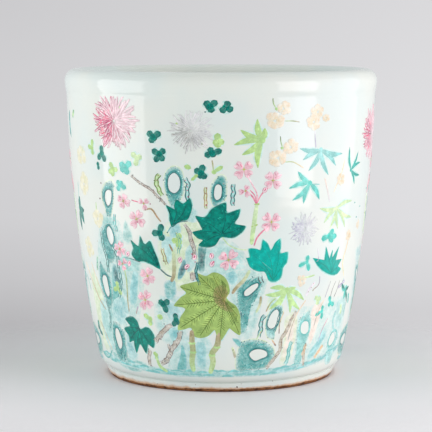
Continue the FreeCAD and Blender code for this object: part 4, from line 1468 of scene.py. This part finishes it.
moss_tufts = [
    # points, width, tone, dot, outline
    ([(184.5, 178), (188, 184), (187, 192), (188, 202)], 3.6, TEAL_PALE, ROSE_DEEP, EMERALD_DEEP),
    ([(233, 184), (233.5, 192), (232.5, 199), (233, 206)], 3.6, TEAL_PALE, ROSE_DEEP, TEAL_DEEP),
    ([(205.5, 187), (205.5, 198), (206, 209)], 2.4, SPRING_PALE, ROSE_DEEP, OLIVE_BROWN),
    ([(159, 174), (156, 181), (158, 188), (162, 196)], 4.0, SPRING, ROSE_DEEP, OLIVE),
    ([(265, 315), (261, 322), (261, 329), (258.5, 337)], 4.0, TEAL_PALE, ROSE_DEEP, EMERALD_DEEP),
    ([(292, 341), (289, 349), (288, 357), (285, 365)], 4.0, TEAL_PALE, TEAL, TEAL),
    ([(101, 232), (103, 246), (107, 260), (108, 273)], 3.6, TEAL_PALE, INK, EMERALD_DEEP),
    ([(114, 214), (114.5, 224), (117, 232)], 3.0, TEAL_PALE, ROSE, TEAL),
    ([(162, 248), (164, 256), (167, 265)], 3.0, SPRING_PALE, BARK, OLIVE_BROWN),
    ([(97, 256), (97, 270)], 2.0, SPRING_PALE, BARK, TEAL),
    ([(281, 308), (277, 324), (274, 332)], 2.0, TEAL, TEAL_DEEP, TEAL_DEEP),
    ([(118, 266), (121, 282), (119, 298)], 3.0, TEAL_PALE, INK, TEAL_DEEP),
    ([(111, 246), (117, 256), (118, 268)], 3.2, TEAL_PALE, INK, EMERALD_DEEP),
    ([(106, 300), (110, 316), (110, 332)], 2.6, TEAL_PALE, INK, TEAL_DEEP),
    ([(200, 286), (196, 272), (198, 262)], 2.2, TEAL, INK, TEAL_DEEP),
    ([(176, 232), (180, 242), (178, 254)], 2.4, SPRING_PALE, BARK, TEAL),
    ([(260, 276), (262, 284)], 4.0, TEAL_PALE, INK, INK),
    ([(123, 352), (123, 361)], 6.0, TEAL, INK, TEAL_DEEP),
    ([(336, 310), (333, 322), (336, 340)], 2.2, SKY_PALE, LILAC, TEAL_PALE),
    ([(345, 280), (338, 288)], 2.2, LILAC_PALE, LILAC, LILAC),
    ([(306, 344), (302, 356)], 3.0, PEACH, OLIVE_BROWN, PEACH),
    ([(323, 345), (314, 358)], 3.0, PEACH, OLIVE_BROWN, PEACH),
    ([(315, 282), (309, 290), (306, 296)], 2.0, LILAC_PALE, OLIVE_BROWN, LILAC_PALE),
]

touches = [
    # single dots of the brush: place, size in mm, tone
    ((100.5, 183), 2.6, BARK), ((99.5, 198.5), 2.8, BARK), ((97, 241), 1.4, OLIVE_BROWN),
    ((154, 180.5), 2.0, OLIVE), ((205, 112), 2.4, TEAL_DEEP), ((167.2, 232.5), 2.4, EMERALD_DEEP),
    ((148.5, 349), 2.0, OLIVE), ((355, 202.5), 3.0, LAGOON), ((360, 206), 3.0, LAGOON),
    ((356.5, 217), 3.2, TEAL), ((366.5, 188), 4.0, LAGOON), ((364, 232), 3.0, TEAL_PALE),
    ((313, 290.5), 2.2, OLIVE_BROWN), ((164, 324), 2.2, TEAL_DEEP), ((163.5, 261), 2.6, BARK),
    ((90, 279), 2.4, EMERALD), ((233, 350), 2.6, BARK), ((170, 358), 3.0, BARK),
    ((282, 148), 5.4, SPRING), ((276.5, 109), 5.4, SPRING), ((119.5, 107.5), 5.4, SPRING_PALE),
    ((176.5, 124), 5.0, MOSS), ((202, 144), 3.6, OLIVE), ((93, 289), 3.0, SPRING),
    ((192, 254), 3.0, MAGENTA), ((213.5, 262), 3.4, MAGENTA), ((210.5, 254), 2.6, MAGENTA),
    ((225.5, 255), 3.0, MAGENTA), ((232, 266), 2.6, MAGENTA), ((186, 269), 3.0, MAGENTA),
    ((195, 262), 2.2, ROSE_DEEP), ((118, 244), 2.6, MAGENTA), ((123, 251), 2.4, MAGENTA),
    ((120.5, 197.5), 2.4, ROSE_DEEP), ((137, 222), 2.6, ROSE_DEEP), ((147, 279), 2.8, ROSE_DEEP),
    ((145, 303), 2.8, ROSE_DEEP), ((143, 296), 2.2, ROSE_DEEP), ((150, 204), 2.2, ROSE_DEEP),
    ((240, 174), 2.2, ROSE), ((187.5, 187), 2.0, MAGENTA), ((188, 197), 2.0, MAGENTA),
    ((206, 205), 2.6, ROSE_DEEP), ((233, 203), 2.0, MAGENTA),
]

bamboo_feet = [[(194, 372), (192, 362), (193, 351), (192, 342), (192, 330)],
               [(210, 374), (213, 362), (212, 354), (217, 346), (219, 332)]]
print(len(stems), "stems,", len(branches), "branches,", len(moss_tufts), "tufts of moss")

# %% [markdown]
# ## Painting the pot
#
# The garden is painted from the back forwards: washes, rocks, stems, leaves, moss, flowers.
# The far side was never photographed.  It carries the same garden turned half round, because a
# workshop repeated its patterns, and each flower falls a little differently.  The middle band
# of the garden is painted once more on the left and right, where the two gardens leave a gap.
# One set of steps serves all four: a side knows its turn, its band and its seed.

# %% A side of the pot
class PotSide:
    """The garden, or the upright band of it between two pixels, on one side of the pot."""

    def __init__(self, name, turn, mirrored, seed, low=0, high=PHOTO_SIDE):
        self.name, self.side, self.seed = name, (turn, mirrored), seed
        self.low, self.high = low, high
        self.faces = 0

    def enamel(self, name):
        """Fresh enamel for one piece of this side."""
        return Enamel(f"{name}_{self.name}", self.side)

    def fire(self, enamel):
        """Makes the piece and counts its faces."""
        self.faces += enamel.done()

    def kept(self, things):
        """Numbered things whose first entry, a pixel or a line of them, lies in the band."""
        middles = [np.reshape(thing[0], (-1, 2)).mean(0)[0] for thing in things]
        return [(n, things[n]) for n, x in enumerate(middles) if self.low <= x <= self.high]


# %% [markdown]
# ## Washes and rocks
#
# The ground comes first, in thin washes that the later colours lie over.  A broken turquoise
# line along the foot of the wall gives the rocks something to stand on.

# %% Washes and rocks
BAND_MARGIN = 16


def paint_washes(pot):
    """Broad washes, rock washes and the ground line."""
    e = pot.enamel("rock_washes")
    for _, (outline, tone, cover) in pot.kept(under_washes):
        e.fill(seen(*outline), tone, lift=WASH - 0.02, cover=cover, soft=True, skirt=5.0, step=4)
    for _, (outline, tone, deep, cover) in pot.kept(rock_washes):
        e.fill(seen(*outline), deep, tone, lift=WASH, cover=cover, soft=True, skirt=2.4)
    low, high = pot.low - BAND_MARGIN, pot.high + BAND_MARGIN
    ground_line = seen(*[pixel for pixel in ground_pixels if low <= pixel[0] <= high])
    e.stroke(ground_line, 9.0, TEAL_PALE, SKY, lift=WASH + 0.02, fat=0.2, cover=0.75, soft=True)
    dice = np.random.default_rng(pot.seed)
    ground = smooth_line(ground_line, step=9)
    for start, middle, end in zip(ground, ground[1:], ground[2:]):
        drop = dice.uniform(-3.5, 3.5)
        e.stroke([start + (0, drop), middle + (0, drop + 1), end + (0, drop)], dice.uniform(1.5, 4),
                 TEAL, SKY, lift=ROCK, fat=0.8, cover=dice.uniform(0.3, 0.8), soft=True, ground=TEAL_PALE)
    pot.fire(e)


def paint_rocks(pot):
    """One piece for each pierced rock."""
    for index, (body, hole, light, dark) in pot.kept(pierced_rocks):
        e = pot.enamel(f"pierced_rock_{index:02d}")
        rock(e, body, hole, light, dark, pot.seed + index)
        pot.fire(e)


# %% [markdown]
# ## Stems and leaves
#
# Stems go under the leaves that they carry.  The two bamboo feet below the big leaf have a pale
# ring at each node.  The big leaf is the painter's show of patience: between its main veins lie
# dozens of fine ones, which are worked out here and stop where they would leave the leaf.

# %% Stems and leaves
def paint_stems(pot):
    """Stems, bamboo feet and branches, as one piece."""
    e = pot.enamel("stems")
    for _, (points, width, first, last) in pot.kept(stems):
        stem(e, points, width, first, last)
    for foot in bamboo_feet:
        stem(e, foot, 7.5, SPRING, OLIVE_BROWN)
        for node in (foot[2], foot[3]):
            at = seen(node)[0]
            e.stroke([at + (-5, -1), at + (0, -2.2), at + (5, -1)], 3.0, SPRING, lift=LINE + 0.03)
    for index, (points, width) in pot.kept(branches):
        line = BARK if points[0][0] < 200 else OLIVE_BROWN
        branch(e, points, width, line, pot.seed + 40 + index)
    pot.fire(e)


def paint_leaves(pot):
    """One piece for each broad leaf; two of them are turquoise."""
    for index, (outline, root, tips) in pot.kept(emerald_leaves):
        e = pot.enamel(f"green_leaf_{index:02d}")
        tone, deep = (LAGOON, EMERALD) if index in (3, 5) else (EMERALD, EMERALD_DEEP)
        leaf(e, outline, root, tips, tone, deep, pot.seed + 20 + index)
        pot.fire(e)


def paint_veined_leaf(pot):
    """The big leaf: fill, brown heart, main veins and the fine ones between them."""
    e = pot.enamel("veined_leaf")
    root, border = seen(veined_root)[0], seen(*veined_leaf)
    e.fill(border, HALO, lift=WASH, cover=0.9, soft=True, skirt=4.0, fade=(1, 1, 0))
    e.fill(border, MOSS, blend(MOSS, OLIVE, 0.30), step=1.4, skirt=0.5, rim=GLOW)
    e.fill(seen(*brown_patch), OLIVE_BROWN, blend(OLIVE_BROWN, MOSS, 0.5), lift=LEAF + 0.02,
           soft=True, ground=MOSS)
    for tip in veined_tips:
        stem(e, [veined_root, tip], 1.3, OLIVE, OLIVE, lift=LEAF + 0.07, ground=MOSS)
    for tip in seen(*veined_tips):
        reach = tip - root
        for k in range(2, 17):
            at = root + reach * k / 17
            for hand in (-1, 1):
                out = reach * 0.5 + hand * np.array([-reach[1], reach[0]]) * 0.6
                out *= 9.0 * (0.35 + k / 24) / np.linalg.norm(out)
                if within(at + out * 1.2, border):
                    e.stroke([at, at + out], 0.95, OLIVE, lift=LEAF + 0.05, cover=0.85, ground=MOSS)
    pot.fire(e)


# %% [markdown]
# ## Sprigs, palm leaves and moss
#
# These are the small quick strokes that fill the garden.  Hundreds of them share three pieces,
# because a painter lays them in one go, without lifting the eye from the pot.

# %% Sprigs, palm leaves and moss
def paint_sprigs(pot):
    """Small lobed leaves as one piece and narrow leaves as another."""
    e = pot.enamel("sprigs")
    for _, (heart, tips, tone, deep, width) in pot.kept(sprigs):
        sprig(e, heart, tips, tone, deep, width)
    pot.fire(e)
    e = pot.enamel("palm_leaves")
    for _, (heart, tips, width, tone, deep) in pot.kept(palm_leaves):
        blades(e, heart, tips, width, tone, deep)
    pot.fire(e)


def paint_moss(pot):
    """Moss and loose touches, as one piece."""
    e = pot.enamel("moss")
    for index, (points, width, tone, dot, dark) in pot.kept(moss_tufts):
        moss(e, points, width, tone, dot, dark, pot.seed + 60 + index)
    for _, (pixel, size, tone) in pot.kept(touches):
        at = seen(pixel)[0]
        e.stroke([at - (0, size * 0.35), at + (0.3, size * 0.35)], size * 0.75, tone, lift=PETAL, fat=0.5)
    pot.fire(e)


# %% [markdown]
# ## Flowers last
#
# Rose enamel was the dearest colour in the workshop and was laid on last, over everything else.
# The pale peach blooms at the far left lean towards cream.

# %% Flowers
def paint_blossoms(pot):
    """Peach blooms as one piece, each rose blossom as its own, and the buds as one."""
    e = pot.enamel("peach_blooms")
    for index, (pixel, size) in pot.kept(peach_blooms):
        peach_bloom(e, pixel, size, CREAM if pixel[0] < 120 else PEACH, pot.seed + 80 + index)
    pot.fire(e)
    for index, (pixel, size, turn, petals) in pot.kept(rose_blossoms):
        e = pot.enamel(f"rose_blossom_{index:02d}")
        blossom(e, pixel, size, turn, petals, pot.seed + 100 + index)
        pot.fire(e)
    e = pot.enamel("rose_buds")
    for _, (pixel, turn) in pot.kept(rose_buds):
        at = seen(pixel)[0]
        e.stroke([at - 4 * way(turn), at, at + 4 * way(turn)], 5.0, ROSE_PALE, lift=PETAL, fat=0.6,
                 edge=ROSE_DEEP)
        e.stroke([at - 2 * way(turn), at + 3 * way(turn)], 1.6, ROSE_DEEP, lift=PETAL + 0.06)
    pot.fire(e)


def paint_chrysanthemums(pot):
    """One piece for each big flower."""
    for index, (pixel, name, reach, petals, pale, deep, shade, *brush) in pot.kept(chrysanthemums):
        e = pot.enamel(name)
        chrysanthemum(e, pixel, reach, petals, pale, deep, shade, *brush, pot.seed + 120 + index)
        number = petals * 2 if deep == ROSE_DEEP else petals // 3
        accents(e, pixel, reach, number, deep, shade, pot.seed + 140 + index)
        pot.fire(e)


# %% Paint all four sides
steps = [paint_washes, paint_rocks, paint_stems, paint_leaves, paint_veined_leaf, paint_sprigs,
         paint_moss, paint_blossoms, paint_chrysanthemums]
for pot in (PotSide("front", 0.0, False, 1), PotSide("back", math.pi, False, 500),
            PotSide("right", math.pi / 2, True, 900, 188, 256),
            PotSide("left", -math.pi / 2 - 0.04, False, 1300, 196, 256)):
    for step in steps:
        step(pot)
    print(f"{pot.name} garden: {pot.faces} faces")

# %% [markdown]
# ## Floor and light
#
# The pot stands on pale card that keeps its soft shadow.  Its grey carries painted shade, darker
# towards the back and on the left.  Towards its edge the card fades into the air of the studio, so
# that the pot can be looked at from every side.

# %% The card on the floor
CARD = 0.60
CARD_STEPS = 96
painted_card_shade = [
    # place from front to back in metres, grey on the left, grey on the right; painted shade, darker towards
    # the back and left
    (-0.34, 0.97, 0.99), (-0.22, 0.95, 0.99), (-0.10, 0.84, 0.99),
    (0.10, 0.70, 0.97), (0.35, 0.66, 0.84),
]


def floor_card():
    """Flat round card with painted shade, darker towards the back and left, whose edge fades away."""
    turns = np.arange(CARD_STEPS) * TURN / CARD_STEPS
    reaches = np.linspace(0.02, CARD, 30)
    points = [(0, 0, 0)] + [(r * math.sin(t), -r * math.cos(t), 0) for r in reaches for t in turns]
    after = [(k, (k + 1) % CARD_STEPS) for k in range(CARD_STEPS)]
    faces = [(0, 1 + k, 1 + n) for k, n in after]
    for ring in range(len(reaches) - 1):
        near, far = 1 + ring * CARD_STEPS, 1 + (ring + 1) * CARD_STEPS
        faces += [(near + k, far + k, far + n, near + n) for k, n in after]
    mesh = bpy.data.meshes.new("floor_card")
    mesh.from_pydata(points, [], faces)
    card = bpy.data.objects.new("floor_card", mesh)
    bpy.context.collection.objects.link(card)
    f = Finish("pale_card")
    spot = f.node("TexCoord", out=3)
    x, y, _ = f.axes(spot)
    greys = []
    for side in (1, 2):
        stops = [(stop[0] + 0.5, (stop[side], stop[side] * 0.985, stop[side])) for stop in painted_card_shade]
        greys.append(f.node("ValToRGB", {"stops": stops}, {"Fac": y + 0.5}))
    paper = f.noise(spot, 4, detail=3) * 0.03
    tone = f.mix((x / 0.8 + 0.5).least(1.0).most(0.0), greys[0], greys[1])
    f.shade(base_color=f.mix(paper, tone, (0.5, 0.5, 0.5)), roughness=0.9, specular_ior_level=0.1)
    f.shade(alpha=1 - ((x * x + y * y) ** 0.5).between(0.25, CARD - 0.08))
    card.data.materials.append(f.material)


floor_card()
print(f"floor card {2 * CARD:.1f} m across")

# %% [markdown]
# ## The air of the studio
#
# What surrounds the pot plays three parts.  To the camera it is a pale grey backdrop that is
# lighter low down, with painted shade: darker in a band behind the pot just below the horizon,
# and darker on the left than on the right.  To the pot it is soft fill light, weaker from above.
# In reflections it is bright behind the pot, where the backdrop hangs, and dark behind the camera.

# %% Surroundings
# Painted shade: the greys dip in a band just below the horizon and are darker on the left.
painted_backdrop_shade = [
    # how far up the ray points, grey on the left and on the right
    (-0.30, 221, 234), (-0.21, 221, 234), (-0.197, 207, 231), (-0.182, 188, 221),
    (-0.166, 182, 210), (-0.158, 187, 209), (-0.142, 197, 215), (-0.109, 208, 223),
    (-0.072, 210, 224), (-0.023, 207, 220), (0.006, 204, 218),
]


def surroundings():
    """World that is backdrop, fill light and reflection."""
    air = Finish("studio_air", bpy.data.worlds.new("studio_air"))
    x, y, z = air.axes(air.node("TexCoord"))
    # The backdrop's greys carry painted shade, darker in a band behind the pot and on the left.
    greys = []
    for side in (1, 2):
        stops = [(up + 0.5, colour(grey[side - 1], grey[side - 1] - 0.6, grey[side - 1] + 1.6))
                 for up, *grey in painted_backdrop_shade]
        greys.append(air.node("ValToRGB", {"stops": stops}, {"Fac": z + 0.5}))
    backdrop = air.mix((x / 0.22 + 0.5).least(1.0).most(0.0), greys[0], greys[1])
    overhead = 0.06 + (1 - y.between(-0.6, 0.4)) * 0.42
    fill = 0.80 - z.most(0.0) * overhead
    gleam = y.between(-0.2, 0.6) * 0.60 + 0.13
    route = {"Factor": air.node("LightPath", out=3), "A": fill, "B": gleam}
    soft = air.node("Background", {}, {"Color": (0.90, 0.94, 0.95), "Strength": air.node("Mix", {}, route)})
    plain = air.node("Background", {}, {"Color": backdrop})
    both = air.node("MixShader", {}, {0: air.node("LightPath"), 1: soft, 2: plain})
    air.feed(air.tree.nodes["World Output"].inputs["Surface"], both)
    bpy.context.scene.world = air.material


surroundings()
bpy.context.scene.view_settings.view_transform = "Standard"
print("world:", bpy.context.scene.world.name)

# %% [markdown]
# ## The lights
#
# Very large soft lights stand left and right, the right ones stronger: they draw the tall pale
# reflections on the glaze.  They begin below the level of the floor, so that the reflections
# run down to the foot.  Their tints are a little warm, because the glaze itself is cool.

# %% Lights
def soft_light(name, place, aim, width, height, power, tint=(1.0, 1.0, 1.0)):
    """Large rectangular light at a place, turned towards an aim."""
    lamp = bpy.data.lights.new(name, "AREA")
    lamp.shape = "RECTANGLE"
    lamp.size = width
    lamp.size_y = height
    lamp.energy = power
    lamp.color = tint
    holder = bpy.data.objects.new(name, lamp)
    holder.location = place
    holder.rotation_euler = (Vector(aim) - Vector(place)).to_track_quat("-Z", "Y").to_euler()
    bpy.context.collection.objects.link(holder)


MIDDLE = (0, 0, 0.2)
soft_light("left_softbox", (-2.4, -0.55, 0.45), MIDDLE, 1.9, 2.1, 28.4, (1.0, 0.945, 0.96))
soft_light("right_softbox", (2.4, -0.2, 0.45), MIDDLE, 3.0, 2.2, 17.8, (1.0, 0.905, 0.94))
soft_light("right_key", (2.30, -1.52, 0.55), MIDDLE, 1.56, 2.2, 27.2, (1.0, 0.905, 0.94))
soft_light("front_fill", (0.3, -3.4, 1.1), MIDDLE, 3.0, 2.0, 2)
print("studio lit by", len(bpy.data.lights), "soft lights")
